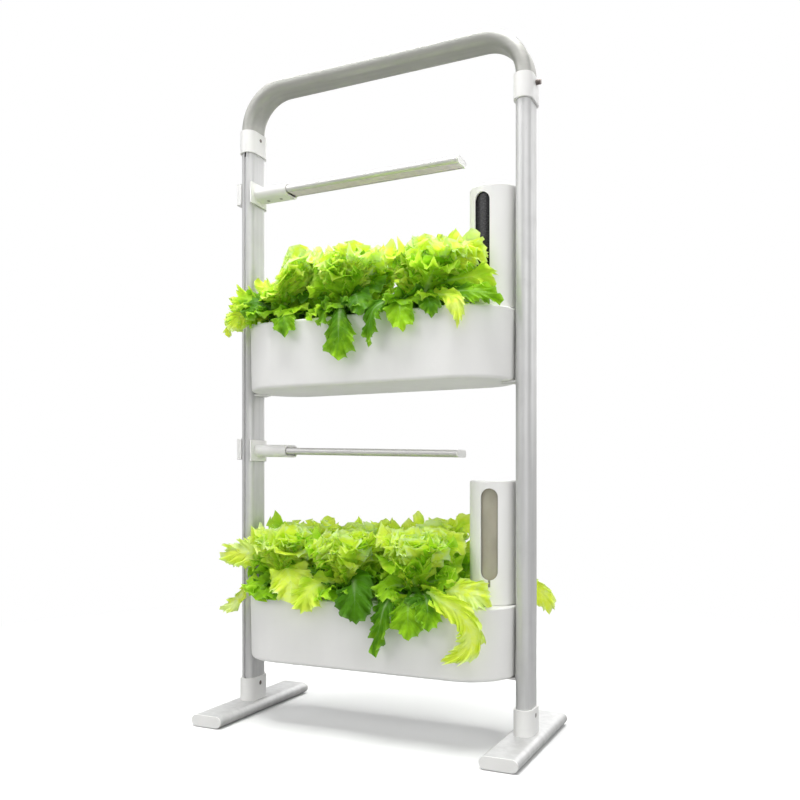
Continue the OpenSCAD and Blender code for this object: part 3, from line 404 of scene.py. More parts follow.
def spline(points, n):
    """Catmull-Rom curve through the points, as n + 1 points of even spacing, and its length."""
    p = np.asarray(points, float)
    p = np.vstack([2 * p[0] - p[1], p, 2 * p[-1] - p[-2]])
    curve = []
    for i in range(1, len(p) - 2):
        a, b, c, d = p[i - 1], p[i], p[i + 1], p[i + 2]
        for t in np.linspace(0, 1, CURVE_STEPS, endpoint=False):
            curve.append(0.5 * (2 * b + (c - a) * t + (2 * a - 5 * b + 4 * c - d) * t * t
                                + (3 * b - a - 3 * c + d) * t ** 3))
    curve.append(p[-2])
    curve = np.array(curve)
    run = path_length(curve)
    at = np.linspace(0, run[-1], n + 1)
    return np.stack([np.interp(at, run, curve[:, c]) for c in range(3)], 1), run[-1]


def leaf_axes(mid, wide, face, twist):
    """Directions along the midrib, across the blade and out of it, at each point of mid."""
    tang = np.gradient(mid, axis=0)
    tang /= np.linalg.norm(tang, axis=1)[:, None]
    if face is not None:
        w = np.cross(tang, face)
    else:
        w = np.asarray(wide, float)[None] - tang * (tang @ np.asarray(wide, float))[:, None]
    w /= np.maximum(1e-6, np.linalg.norm(w, axis=1))[:, None]
    n = np.cross(tang, w)
    a = (twist * np.linspace(0, 1, len(mid)) ** 1.5)[:, None]
    return tang, w * np.cos(a) + n * np.sin(a), n * np.cos(a) - w * np.sin(a)


def edge_rows(rng, length, coarse):
    """Rows of faces from stalk to tip: place along the leaf, number of the lobe and place in the
    lobe. The lobes get shorter towards the tip. Also gives how many lobes there are."""
    e, lobe, part = list(STALK_ROWS), [STALK] * len(STALK_ROWS), [0.5] * len(STALK_ROWS)
    pos, k = LOBES_FROM + 0.05 * rng.random(), 0
    while pos < LOBES_TO:
        shrink = 0.34 + 0.66 * math.sqrt(max(0.02, 1 - pos))
        step = rng.uniform(*LOBE_LENGTH) * coarse / length * shrink
        for q in range(LOBE_STEPS):
            e.append(pos + q / LOBE_STEPS * step)
            lobe.append(k)
            part.append(q / LOBE_STEPS)
        pos += step
        k += 1
    keep = np.array(e) < 0.99
    last = ((e, 1.0), (lobe, TIP), (part, 0.0))
    e, lobe, part = (np.append(np.array(v)[keep], z) for v, z in last)
    return e, lobe, part, k


def lobe_heights(rng, lobe, part, count, fine):
    """How far the edge stands out at each row, as a share of the lobes' depth, and the number
    of the lobe point that each row belongs to."""
    high = np.where(rng.random(count + 2) < 0.78, rng.uniform(0.55, 1.25, count + 2),
                    rng.uniform(0.15, 0.5, count + 2))
    which = np.clip(lobe.astype(int) + (part > 0.5), 0, count + 1)
    height = high[which] * np.abs(2 * part - 1) ** 1.9 - 0.22
    second = np.abs(2 * ((part * 3) % 1.0) - 1) ** 1.2
    height = height + fine * rng.uniform(0.12, 0.42, count + 2)[which] * second
    height = np.where(lobe < 0, 0.0, height)
    height[-1] = 0.9
    return height, which


def blade(rng, points, halves, wide=None, face=None, cup=0.25, frill=7.0, teeth=8.0, twist=0.0,
          coarse=1.0, fine=0.5):
    """One leaf as (vertices, faces, uv). points: the midrib; halves: half width at each of them;
    wide: the direction of its width, or face: the way its face looks. Side ribs start low on the
    midrib and fan out to pointed lobes with hollow curves between them. cup bends the blade
    round its midrib, frill waves its edge, and teeth, coarse and fine are the lobes' depth,
    spacing and second teeth."""
    mid, length = spline(points, MID_STEPS)
    tang, w, n = leaf_axes(mid, wide, face, twist)
    at_half = path_length(points)
    at_half /= at_half[-1]

    def half_at(e):
        tip = np.clip((e - TIP_FROM) / TIP_PART, 0, 1)
        return np.interp(e, at_half, halves) * np.clip(1 - tip ** 2.4, 0, 1) ** 0.5

    phase0 = rng.uniform(0, ROUND)
    k_small = rng.uniform(0.85, 1.15)

    def place(x, y, edge, phase, curl):
        """Points of the blade's plane (x along, y across) put in space."""
        f = np.clip(x / length, 0, 1) * MID_STEPS
        k = np.minimum(f.astype(int), MID_STEPS - 1)
        r = (f - k)[..., None]
        past_tip = np.maximum(0.0, x - length)[..., None]
        c = mid[k] * (1 - r) + mid[k + 1] * r + tang[-1] * past_tip
        ww = w[k] * (1 - r) + w[k + 1] * r
        nn = n[k] * (1 - r) + n[k + 1] * r
        span = np.maximum(8.0, half_at(x / length))
        bow = cup * (np.abs(y) / span) ** 1.6 * span * 0.55
        wave = frill * edge ** 2.1 * (np.sin(phase) + 0.5 * np.sin(2.3 * phase + 1.1) * edge)
        wave = wave + 0.22 * frill * edge ** 4 * np.sin(5.3 * phase + 2.0) + curl * edge ** 3
        pleat = 0.07 * frill * edge * np.sin(0.62 * phase + phase0)
        small = 1.0 * np.sin(0.40 * k_small * x + 0.30 * y + phase0) * np.sin(0.36 * y - 0.2 * x)
        small = small * np.minimum(1, np.abs(y) / 7)
        stem = -1.8 * np.exp(-(y / 3.0) ** 2) * (1 - x / length)
        out = bow + wave + pleat + small + stem
        return c + ww * (y * (1 - 0.12 * cup * edge))[..., None] + nn * out[..., None]

    e, lobe, part, count = edge_rows(rng, length, coarse)
    rows = len(e)
    side = np.linspace(0, 1, NV + 1)[None]      # 0 on the midrib, 1 on the edge
    verts, uvs, faces = [], [], []
    first = None
    for sgn in (-1, 1):
        height, which = lobe_heights(rng, lobe, part, count, fine)
        up = rng.uniform(-0.9, 0.9, count + 2)[which]
        curl = (0.9 * teeth * up * np.maximum(height, 0))[:, None]
        phase_at, lobe_at, drift_at = rng.uniform(0, ROUND, 3)
        # the edge's point and the midrib's point of each row
        eo = e + 0.018 * np.sin(e * 9 + drift_at) * np.sin(np.pi * e)
        hw = half_at(eo)
        grow = smooth01((e - 0.12) / 0.30)
        ox = eo * length
        oy = hw * (1 + 0.10 * grow * np.sin(e * length / 10.0 + lobe_at))
        bx = e ** 1.35 * 0.80 * length
        dx, dy = ox - bx, oy
        dl = np.maximum(1e-6, np.hypot(dx, dy))
        th = teeth * height * grow
        ox, oy = ox + dx / dl * th * 0.8 + th * 0.1, oy + dy / dl * th
        t = side ** 0.85
        x = bx[:, None] + (ox - bx)[:, None] * t
        y = oy[:, None] * t
        y[-1] = 0.0
        edge = np.broadcast_to(side, x.shape).copy()
        edge[-1] *= 0.5
        run = np.concatenate([[0], np.cumsum(np.hypot(np.diff(e * length), np.diff(hw)))])
        phase = run[:, None] / 3.4 + phase_at + 0.7 * np.sin(run / 12)[:, None] + 0 * edge
        pts = place(x, sgn * y, edge, phase, curl)
        uv = np.stack([np.broadcast_to(e[:, None], x.shape),
                       0.5 + 0.5 * sgn * np.broadcast_to(side, x.shape)], -1)
        if first is None:
            first = index = np.arange(rows * (NV + 1)).reshape(rows, NV + 1)
            verts.append(pts.reshape(-1, 3))
            uvs.append(uv.reshape(-1, 2))
        else:       # the other side shares the midrib and the tip
            index = np.zeros((rows, NV + 1), int)
            index[:, 0] = first[:, 0]
            index[-1] = first[-1]
            own = np.arange((rows - 1) * NV).reshape(rows - 1, NV)
            index[:-1, 1:] = own + len(verts[0])
            verts.append(pts[:-1, 1:].reshape(-1, 3))
            uvs.append(uv[:-1, 1:].reshape(-1, 2))
        q = np.stack([index[:-1, :-1], index[1:, :-1], index[1:, 1:], index[:-1, 1:]], -1)
        q = q.reshape(-1, 4)
        faces.append(q if sgn > 0 else q[:, ::-1])
    return np.concatenate(verts), np.concatenate(faces), np.concatenate(uvs)


# ---------------------------------------------------------------- what each head is made of

# long leaves of each plant: [kind, way its face looks (turn, rise in degrees), tone,
# [[to the right, to the back, height above the lid, half width], ...]], mm from the plant's axis
LEAVES = {
    "lower": {
        1: [
            ["ragged", (-75, 25), 0.95, [[-6, 0, 10, 5], [-26, -6, 52, 12], [-58, -12, 66, 24],
             [-90, -17, 66, 25], [-113, -20, 60, 15]]],
            ["soft", (-70, 30), 0.95, [[-5, -1, 4, 4], [-30, -6, 14, 4], [-64, -12, 8, 4],
             [-80, -15, -12, 9], [-97, -18, -24, 14], [-113, -21, -30, 9]]],
            ["ragged", (-60, 35), 0.85, [[3, -4, 8, 7], [14, -18, 36, 16], [30, -36, 46, 30],
             [48, -50, 26, 36], [58, -60, -2, 28]]],
            ["soft", (-80, 20), 0.35, [[0, -5, 4, 6], [-8, -26, 20, 18], [-14, -44, 14, 24],
             [-16, -54, -2, 20]]],
        ],
        2: [
            ["ragged", (-95, 25), 0.70, [[-3, -4, 6, 6], [-18, -24, 24, 18], [-36, -44, 20, 26],
             [-46, -56, 2, 26], [-50, -60, -18, 16]]],
            ["dark", (-85, 25), -0.25, [[3, -4, 4, 6], [16, -18, 24, 16], [32, -38, 30, 28],
             [42, -54, 14, 33], [46, -60, -12, 30], [48, -61, -28, 16]]],
        ],
        3: [
            ["dark", (-100, 5), 0.05, [[-3, -4, 4, 5], [-14, -26, 14, 9], [-24, -42, 12, 14],
             [-30, -56, -4, 19], [-36, -61, -36, 17], [-44, -60, -62, 12], [-42, -60, -76, 7]]],
            ["dark", (-90, 20), 0.30, [[-4, -3, 6, 6], [-18, -20, 26, 18], [-30, -40, 26, 26],
             [-34, -52, 8, 22]]],
            ["soft", (-85, 10), 0.25, [[1, -5, 4, 6], [4, -24, 16, 12], [8, -44, 12, 24],
             [10, -56, -6, 30], [12, -60, -32, 28], [12, -60, -46, 14]]],
            ["soft", (-75, 15), 0.15, [[3, -4, 4, 6], [16, -22, 16, 10], [34, -44, 12, 15],
             [42, -56, -4, 20], [45, -60, -30, 18]]],
            ["hook", (-88, 8), 0.85, [[6, -3, 5, 5], [30, -30, 20, 11], [62, -55, 12, 15],
             [92, -59, -2, 18], [110, -60, -25, 20], [108, -60, -48, 19], [90, -60, -65, 15],
             [68, -61, -74, 9]]],
            ["ragged", (-80, 20), 0.95, [[6, -2, 8, 6], [30, -12, 18, 9], [60, -20, 22, 14],
             [86, -24, 24, 22], [108, -25, 18, 23], [128, -24, 7, 12]]],
            ["dark", (-80, 25), 0.25, [[4, -3, 10, 6], [18, -8, 28, 14], [40, -14, 38, 22],
             [58, -18, 40, 22], [68, -20, 34, 12]]],
            ["soft", (-70, 25), 0.70, [[3, 2, 30, 8], [12, 6, 76, 22], [34, 9, 90, 27],
             [62, 12, 88, 24], [74, 11, 80, 12]]],
        ],
        6: [
            ["dark", (-80, 25), 0.30, [[4, -3, 10, 6], [18, -6, 32, 14], [40, -8, 48, 24],
             [60, -10, 52, 24], [70, -10, 44, 12]]],
            ["soft", (-70, 20), 0.85, [[6, 2, 8, 5], [40, 12, 26, 8], [106, 30, 27, 10],
             [152, 44, 18, 17], [172, 51, -4, 20], [176, 53, -22, 11]]],
        ],
    },
    "upper": {
        1: [
            ["curly", (-75, 25), 0.95, [[-5, -1, 8, 4], [-22, -4, 28, 8], [-56, -10, 38, 15],
             [-82, -15, 40, 19], [-96, -18, 40, 14]]],
            ["curly", (-60, 10), 1.00, [[-5, -1, 4, 4], [-22, -5, 16, 8], [-58, -12, 22, 14],
             [-86, -17, 14, 18], [-100, -20, 6, 13]]],
            ["curly", (-90, 40), 1.00, [[-5, 0, 8, 4], [-22, -3, 22, 8], [-54, -6, 28, 14],
             [-80, -9, 26, 18], [-96, -12, 20, 13]]],
            ["curly", (-65, -5), 0.90, [[-4, -3, 6, 4], [-20, -14, 16, 8], [-50, -28, 20, 14],
             [-72, -34, 8, 18], [-82, -36, -6, 12]]],
            ["curly", (-80, 15), 1.00, [[-4, -3, 6, 4], [-20, -12, 22, 8], [-54, -20, 26, 12],
             [-76, -25, 14, 15], [-90, -27, -2, 14], [-92, -27, -14, 8]]],
            ["ragged", (-70, 30), 0.55, [[-4, -3, 6, 5], [-16, -14, 26, 9], [-38, -28, 40, 18],
             [-58, -34, 46, 22], [-74, -37, 48, 14]]],
            ["soft", (-85, 25), 0.85, [[-2, -3, 20, 5], [-8, -8, 50, 8], [-22, -12, 62, 12],
             [-36, -13, 70, 14], [-46, -13, 76, 8]]],
            ["dark", (-70, 30), 0.15, [[-3, -4, 6, 6], [-14, -16, 26, 14], [-30, -28, 38, 24],
             [-44, -34, 36, 24], [-56, -38, 24, 13]]],
            ["dark", (-95, 30), 0.10, [[-3, -4, 6, 6], [-16, -22, 30, 18], [-30, -40, 26, 24],
             [-38, -50, 8, 18]]],
            ["soft", (-80, 15), 0.12, [[3, -4, 4, 5], [12, -18, 16, 9], [26, -38, 13, 11],
             [36, -52, 0, 18], [40, -57, -16, 20], [41, -58, -28, 12]]],
        ],
        2: [
            ["soft", (-110, 20), 0.15, [[-3, -4, 4, 5], [-8, -20, 16, 9], [-14, -40, 13, 13],
             [-17, -50, 2, 15], [-18, -54, -16, 8]]],
            ["wide", (-85, 8), 0.14, [[1, -5, 4, 5], [5, -20, 16, 8], [11, -42, 13, 9],
             [15, -54, -4, 12], [17, -60, -28, 24], [18, -61, -52, 31], [18, -61, -71, 20]]],
            ["dark", (-70, 25), 0.00, [[3, -4, 6, 6], [16, -18, 30, 16], [34, -36, 30, 26],
             [46, -50, 12, 24], [50, -56, -4, 12]]],
        ],
        3: [
            ["soft", (-105, 5), 0.08, [[-3, -4, 4, 5], [-16, -22, 16, 9], [-34, -42, 13, 11],
             [-48, -56, 0, 14], [-53, -60, -26, 14], [-55, -60, -54, 8]]],
            ["soft", (-80, 20), 0.28, [[-2, -5, 4, 5], [-6, -20, 18, 10], [-8, -40, 15, 18],
             [-5, -53, -1, 23], [0, -59, -24, 20], [2, -59, -35, 9]]],
            ["dark", (-75, 20), 0.05, [[4, -4, 4, 5], [14, -18, 16, 10], [34, -38, 13, 15],
             [43, -50, 0, 17], [46, -53, -17, 9]]],
            ["soft", (-80, 15), 0.80, [[5, -3, 5, 5], [22, -12, 20, 9], [62, -36, 16, 12],
             [80, -47, 5, 14], [86, -51, -8, 13], [88, -52, -22, 8], [87, -52, -36, 4]]],
            ["dark", (-80, 35), 0.20, [[5, -3, 10, 6], [24, -10, 24, 11], [80, -26, 22, 15],
             [118, -36, 14, 18], [152, -40, 0, 9]]],
            ["curly", (-80, 25), 0.50, [[5, -1, 14, 6], [24, -4, 40, 14], [78, -12, 44, 20],
             [112, -18, 42, 20], [134, -22, 30, 14]]],
            ["curly", (-85, 25), 0.95, [[5, 0, 20, 6], [24, -2, 56, 18], [66, -8, 72, 22],
             [96, -12, 76, 22], [118, -15, 66, 14]]],
            ["ragged", (-80, 20), 1.00, [[3, 0, 30, 8], [16, -3, 76, 26], [58, -9, 94, 28],
             [92, -14, 92, 22], [112, -17, 80, 12]]],
        ],
    },
}

# kinds of long leaf: depth and spacing of the lobes, second teeth, frill and twist
KINDS = {
    "soft": (5.0, 1.0, 0.35, 5.5, 0.15), "wide": (6.0, 1.3, 0.15, 4.5, 0.1),
    "dark": (4.5, 1.2, 0.15, 6.0, 0.2), "ragged": (5.0, 0.75, 0.9, 10.5, 0.3),
    "hook": (6.5, 1.25, 0.6, 8.0, 0.0), "curly": (4.0, 0.6, 1.2, 11.0, 0.6),
}
# crown of each plant: height as a share of the tier's, width as a share, lean to the right in mm
CROWNS = {
    "lower": [(0.93, 0.80, 16), (0.89, 1, 0), (0.93, 1, 6), (0.99, 0.95, 0), (0.97, 1, 0),
              (1, 0.95, 0)],
    "upper": [(1, 0.56, 40), (0.96, 0.9, 0), (0.88, 1, 30), (0.96, 0.75, 8), (0.95, 0.9, 0),
              (0.95, 0.9, 0)],
}
# the layers of a head: what their leaves are like, as ranges, then their counts and tones; the
# tones, lime in the crown and darker lower down, are partly the leaves' own colour and partly
# painted light and shade
CROWN = {"half": (29, 40), "cup": (0.1, 0.7), "frill": (8, 12), "rise": (0.55, 0.68),
         "fine": (0.5, 1.0)}
FLANK = {"half": (30, 40), "cup": (0.0, 0.4), "frill": (6.5, 10), "rise": (0.6, 0.8),
         "fine": (0.3, 0.8)}
FRONT = {"half": (30, 40), "cup": (-0.1, 0.3), "frill": (6, 9.5), "rise": (0.55, 0.7),
         "fine": (0.3, 0.8)}
SHADE = {"half": (18, 27), "cup": (-0.1, 0.3), "frill": (3, 5), "mid_z": (10, 20), "arch": 3.0,
         "fine": 0.2, "tone": (-0.2, 0.15)}
SKIRT = {"half": (21, 29), "cup": (-0.2, 0.3), "frill": (4, 7), "arch": 8.0, "fine": 0.3,
         "tone": (-0.1, 0.45)}
CROWN_COUNT = {"lower": 12, "upper": 11}
FLANK_COUNT, FRONT_COUNT, SHADE_COUNT, SKIRT_COUNT = 10, 6, 8, 9
CROWN_SPREAD, FLANK_SPREAD, FRONT_SPREAD = 62.0, 68.0, 60.0     # farthest from the axis, mm
SHADE_SPREAD, SKIRT_SPREAD = 60.0, 66.0
CROWN_TONE = {"lower": (0.95, 1.40), "upper": (0.85, 1.40)}
FLANK_TONE = {"lower": (0.35, 0.85), "upper": (0.20, 0.62)}
FRONT_TONE = {"lower": (0.60, 1.15), "upper": (0.20, 0.72)}
FRONT_RISE = {"lower": (0.66, 0.84), "upper": (0.50, 0.68)}     # share of the head's height
GOLDEN = 2.39996        # radians from one crown leaf to the next

LEAF_HALVES = (0.16, 0.34, 0.72, 1.02, 1.06)    # half widths along a leaf, as shares of its own
TILT = 0.35             # how much a leaf's width may lean
# half the width of a plant's share of the bed, and how far the outer plants' shares go past
# the posts' axes and the planter's front and back
CELL = 62
LEFT_PAST, RIGHT_PAST = 8, {"front": -14, "back": 22}
FRONT_PAST, BACK_PAST = 12, 16
# how far inside the left post's axis the upper tier's share begins: the tall leaves of its
# front and back rows, and the low leaves
UPPER_LEFT = {"front": 118, "back": 94, "low": 40}
# the upper heads next to the left post are lower there: place to the right, share of the height
SLOPE_X, SLOPE_SHARE = [-235, -190, -172, -150], [0.40, 0.60, 0.66, 1.0]
SLOPE_SKEW = 0.64       # the slope's line runs back and to the left, mm per mm


def draw(rng, v):
    """A random number from v if v is a range, or v itself."""
    return rng.uniform(*v) if isinstance(v, tuple) else v


def reach(tier, i, x, y, a, tall=False):
    """Free distance for plant i's leaves from (x, y) towards angle a, in its share of the bed."""
    col, row = i % 3, "front" if i < 3 else "back"
    dx, dy = math.cos(a), math.sin(a)
    if tier == "lower":
        left = -POST_X - LEFT_PAST
    else:
        left = -POST_X + UPPER_LEFT[row if tall else "low"]
    x0 = left if col == 0 else CUP_X[col] - CELL
    x1 = POST_X + RIGHT_PAST[row] if col == 2 else CUP_X[col] + CELL
    y0 = BED_Y - RIM_R - FRONT_PAST if row == "front" else BED_Y
    y1 = BED_Y if row == "front" else BED_Y + RIM_R + BACK_PAST
    tx = 1e6 if abs(dx) < 1e-6 else ((x1 if dx > 0 else x0) - x) / dx
    ty = 1e6 if abs(dy) < 1e-6 else ((y1 if dy > 0 else y0) - y) / dy
    return min(tx, ty)


# leaves that go farther left of the middle than LEFT_LIMIT ease to a stop over LEFT_EASE
LEFT_LIMIT, LEFT_EASE = 272, 9.5
# the planter's wall with a little air: its inner and outer side from RIM_R, and how high
# leaves stay over the lid and over the rim
RIM_IN, RIM_OUT = 6, 3.5
ABOVE_LID, ABOVE_RIM = 2.2, 1.5
TOWER_GAP = 1.5
# the posts with a little air, and on the left one the lamp's saddle: post, its left and right
# side from the post's axis, and the front and back of both
POST_BOXES = ((-POST_X, -30.0, 18.5), (POST_X, -18.5, 16.0))
POST_FRONT, POST_BACK = -30.5, 31.0


def clear(p, z_top):
    """Moves leaf vertices out of the lid, the planter's wall, the tower, the posts and lamp."""
    x, y, z = p[:, 0], p[:, 1], p[:, 2]
    eased = -LEFT_LIMIT - LEFT_EASE * np.tanh((-LEFT_LIMIT - x) / LEFT_EASE)
    x = np.where(x < -LEFT_LIMIT, eased, x)
    # the planter: a stadium of radius RIM_R
    half = END_X - RIM_R
    cx = np.clip(x, -half, half)
    d = np.hypot(x - cx, y - BED_Y)
    inside = d < RIM_R - RIM_IN
    z = np.where(inside, np.maximum(z, z_top + ABOVE_LID), z)
    ring = (~inside) & (d < RIM_R + RIM_OUT)
    push = ring & (z < z_top + ABOVE_RIM)
    s = np.where(push, (RIM_R + RIM_OUT) / np.maximum(d, 1e-6), 1.0)
    x = np.where(push, cx + (x - cx) * s, x)
    y = np.where(push, BED_Y + (y - BED_Y) * s, y)
    # the tower
    free_r = SEAT_R + TOWER_GAP
    r = np.hypot(x - TOWER[0], y - TOWER[1])
    s = np.where(r < free_r, free_r / np.maximum(r, 1e-6), 1.0)
    x = TOWER[0] + (x - TOWER[0]) * s
    y = TOWER[1] + (y - TOWER[1]) * s
    # the posts: out at the nearest of the inner side, the front and the back
    for post, lo_x, hi_x in POST_BOXES:
        inside = ((x > post + lo_x) & (x < post + hi_x) & (y > POST_FRONT) & (y < POST_BACK))
        to_front = (y - POST_FRONT) < (POST_BACK - y)
        toward = np.minimum(y - POST_FRONT, POST_BACK - y)
        inner_x = post + (hi_x if post < 0 else lo_x)
        side = inside & (np.abs(inner_x - x) < toward)
        x = np.where(side, inner_x, x)
        y = np.where(inside & ~side, np.where(to_front, POST_FRONT, POST_BACK), y)
    return np.stack([x, y, z], 1)


def head(rng, tier, i, base):
    """The leaves of plant i but its long ones, each as (vertices, faces, uv, tone)."""
    share, width, lean = CROWNS[tier][i]
    h = LEAF_H[tier] * share
    front, low = i < 3, tier == "lower"
    made = []
    turn = rng.uniform(0, 2 * math.pi)

    def grow(a, d_end, z_end, half, cup, frill, tone, rise=0.6, mid_z=None, fine=0.5, arch=0.0,
             lean_by=0.0, fresher_and_lit=0.0):
        """A leaf that leaves the axis at angle a and ends d_end out and z_end up. Its middle is
        at the share rise of that height, or at mid_z, and arch lifts it beyond that. lean_by
        leans it to the right, and fresher adds to its tone."""
        half, cup, frill = draw(rng, half), draw(rng, cup), draw(rng, frill)
        tone = draw(rng, tone) + fresher_and_lit
        rise, mid_z, fine = draw(rng, rise), draw(rng, mid_z), draw(rng, fine)
        out = np.array([math.cos(a), math.sin(a), 0.0])
        side = np.array([-out[1], out[0], 0.0]) + np.array([0, 0, rng.uniform(-TILT, TILT)])
        shift = np.array([lean_by, 0, 0])
        d_mid = d_end * 0.42 + 2
        z_mid = z_end * rise if mid_z is None else mid_z

        def station(d, lean_share, z):
            return base + out * d + shift * lean_share + [0, 0, z]

        pts = [station(4, 0, 3),
               station(3 + d_mid * 0.45, 0.25, z_mid * 0.5),
               station(d_mid, 0.6, z_mid),
               station(d_mid + (d_end - d_mid) * 0.52, 0.85,
                       z_mid + (z_end - z_mid) * 0.55 + arch),
               station(d_end, 1, z_end)]
        v, q, uv = blade(rng, pts, [half * c for c in LEAF_HALVES], wide=side, cup=cup,
                         frill=frill, teeth=rng.uniform(3.2, 5.4),
                         twist=rng.uniform(-0.55, 0.55), fine=fine)
        if not low and i % 3 == 0:
            high = v[:, 2] - base[2]
            keep = np.interp(v[:, 0] + SLOPE_SKEW * (v[:, 1] - CUP_Y[0]), SLOPE_X, SLOPE_SHARE)
            v[:, 2] -= high * (1 - keep) * smooth01((high - 15) / 50)
        made.append((v, q, uv, tone))

    # the crown: tips spread evenly over the plant's share of the bed
    count = CROWN_COUNT[tier]
    for k in range(count):
        f = (k + 0.5) / count
        a = turn + k * GOLDEN + rng.uniform(-0.2, 0.2)
        free = min(CROWN_SPREAD, reach(tier, i, base[0] + lean, base[1], a, True))
        d = free * math.sqrt(f) * (0.35 + 0.65 * width) * rng.uniform(0.80, 0.96)
        top = h * (1 - 0.14 * f ** 2) * rng.uniform(0.86, 1.0) - 8
        grow(a, d, top, tone=CROWN_TONE[tier], lean_by=lean, **CROWN)
    # the flank, at all heights over the edge of the share
    for k in range(FLANK_COUNT):
        a = turn + 0.6 + k * 2 * math.pi / FLANK_COUNT + rng.uniform(-0.2, 0.2)
        if abs(math.cos(a)) < 0.72 or k % 3 == 0:
            z = h * rng.uniform(0.42, 0.74)
        else:
            z = h * rng.uniform(0.74, 0.90) - 6
        free = min(FLANK_SPREAD, reach(tier, i, base[0] + lean * 0.5, base[1], a, z > 0.52 * h))
        d = free * rng.uniform(0.85, 1.0)
        # the upper tier's high flank leaves get a lighter tone, partly painted light on the top of
        # the head
        grow(a, d, z, tone=FLANK_TONE[tier], fresher_and_lit=0.0 if low else 0.55 * (z > 0.66 * h),
             arch=0.08 * h, lean_by=lean * 0.5, **FLANK)
    # tall leaves that face the front
    for k in range(FRONT_COUNT if front else 0):
        a = math.radians(-150 + 24 * k + rng.uniform(-9, 9))
        free = min(FRONT_SPREAD, reach(tier, i, base[0] + lean * 0.6, base[1], a))
        d = free * rng.uniform(0.72, 0.92)
        grow(a, d, h * draw(rng, FRONT_RISE[tier]), tone=FRONT_TONE[tier], arch=0.05 * h,
             lean_by=lean * 0.6, **FRONT)
    # dark leaves close to the lid
    for k in range(SHADE_COUNT):
        a = turn + 1.1 + k * 2 * math.pi / SHADE_COUNT + rng.uniform(-0.3, 0.3)
        free = min(SHADE_SPREAD, reach(tier, i, base[0], base[1], a))
        d = free * rng.uniform(0.62, 0.92)
        grow(a, d, rng.uniform(10, 26), **SHADE)
    # the skirt over the lid and, in front, just over the rim
    for k in range(SKIRT_COUNT):
        a = turn + 0.2 + k * 2 * math.pi / SKIRT_COUNT + rng.uniform(-0.2, 0.2)
        free = min(SKIRT_SPREAD, reach(tier, i, base[0], base[1], a))
        d = free * rng.uniform(0.90, 1.0)
        z = h * rng.uniform(0.10, 0.36)
        if front and math.sin(a) < -0.45:
            z = rng.uniform(-3, 12)
        grow(a, d, z, mid_z=max(15.0, z * 0.9 + 8), **SKIRT)
    return made


def long_leaf(rng, base, kind, looks, tone, path):
    """One row of LEAVES as (vertices, faces, uv, tone)."""
    a, b = math.radians(looks[0]), math.radians(looks[1])
    face = np.array([math.cos(a) * math.cos(b), math.sin(a) * math.cos(b), math.sin(b)])
    depth, coarse, fine, frill, twist = KINDS[kind]
    pts = [base + np.array(p[:3]) for p in path]
    v, q, uv = blade(rng, pts, [p[3] * 0.95 for p in path], face=face, cup=0.12, frill=frill,
                     teeth=depth, twist=rng.uniform(-twist, twist), coarse=coarse, fine=fine)
    return v, q, uv, tone


# root plug: its rings of points, foot and height from the lid, radius and how much wider its
# top is, and the shares of its rings on its side and on its round top
PLUG_RINGS, PLUG_STEPS = 12, 40
PLUG_LOW, PLUG_HEIGHT = -44.5, 43.5
PLUG_R, PLUG_FLARE, PLUG_FOOT_R = 15.5, 4.6, 4.0
PLUG_SIDE, PLUG_TOP = 0.8, 0.2


def root_plug(rng, base):
    """A ragged lump of coir, its top just under the leaves: vertices and faces."""
    points, faces = [], []
    for r in range(PLUG_RINGS + 1):
        t = r / PLUG_RINGS
        up = min(1, t / PLUG_SIDE)
        z = PLUG_LOW + PLUG_HEIGHT * up
        on_top = t > PLUG_SIDE
        close = math.sqrt(max(0.0, 1 - ((t - PLUG_SIDE) / PLUG_TOP) ** 2)) if on_top else 1
        rad = PLUG_FOOT_R if r == 0 else (PLUG_R + PLUG_FLARE * up) * close
        rough = 1.6 if on_top else 0.4
        for s in range(PLUG_STEPS):
            a = 2 * math.pi * s / PLUG_STEPS
            wob = 1 + 0.03 * math.sin(7 * a + r) + 0.03 * rng.uniform(-1, 1)
            points.append([rad * wob * math.cos(a), rad * wob * math.sin(a),
                           z + rough * rng.uniform(-1, 1)])
    for r in range(PLUG_RINGS):
        for s in range(PLUG_STEPS):
            a, b = r * PLUG_STEPS + s, r * PLUG_STEPS + (s + 1) % PLUG_STEPS
            faces.append([a, b, b + PLUG_STEPS, a + PLUG_STEPS])
    faces.append(list(range(PLUG_STEPS))[::-1])
    faces.append([PLUG_RINGS * PLUG_STEPS + s for s in range(PLUG_STEPS)])
    return np.array(points) + base, faces


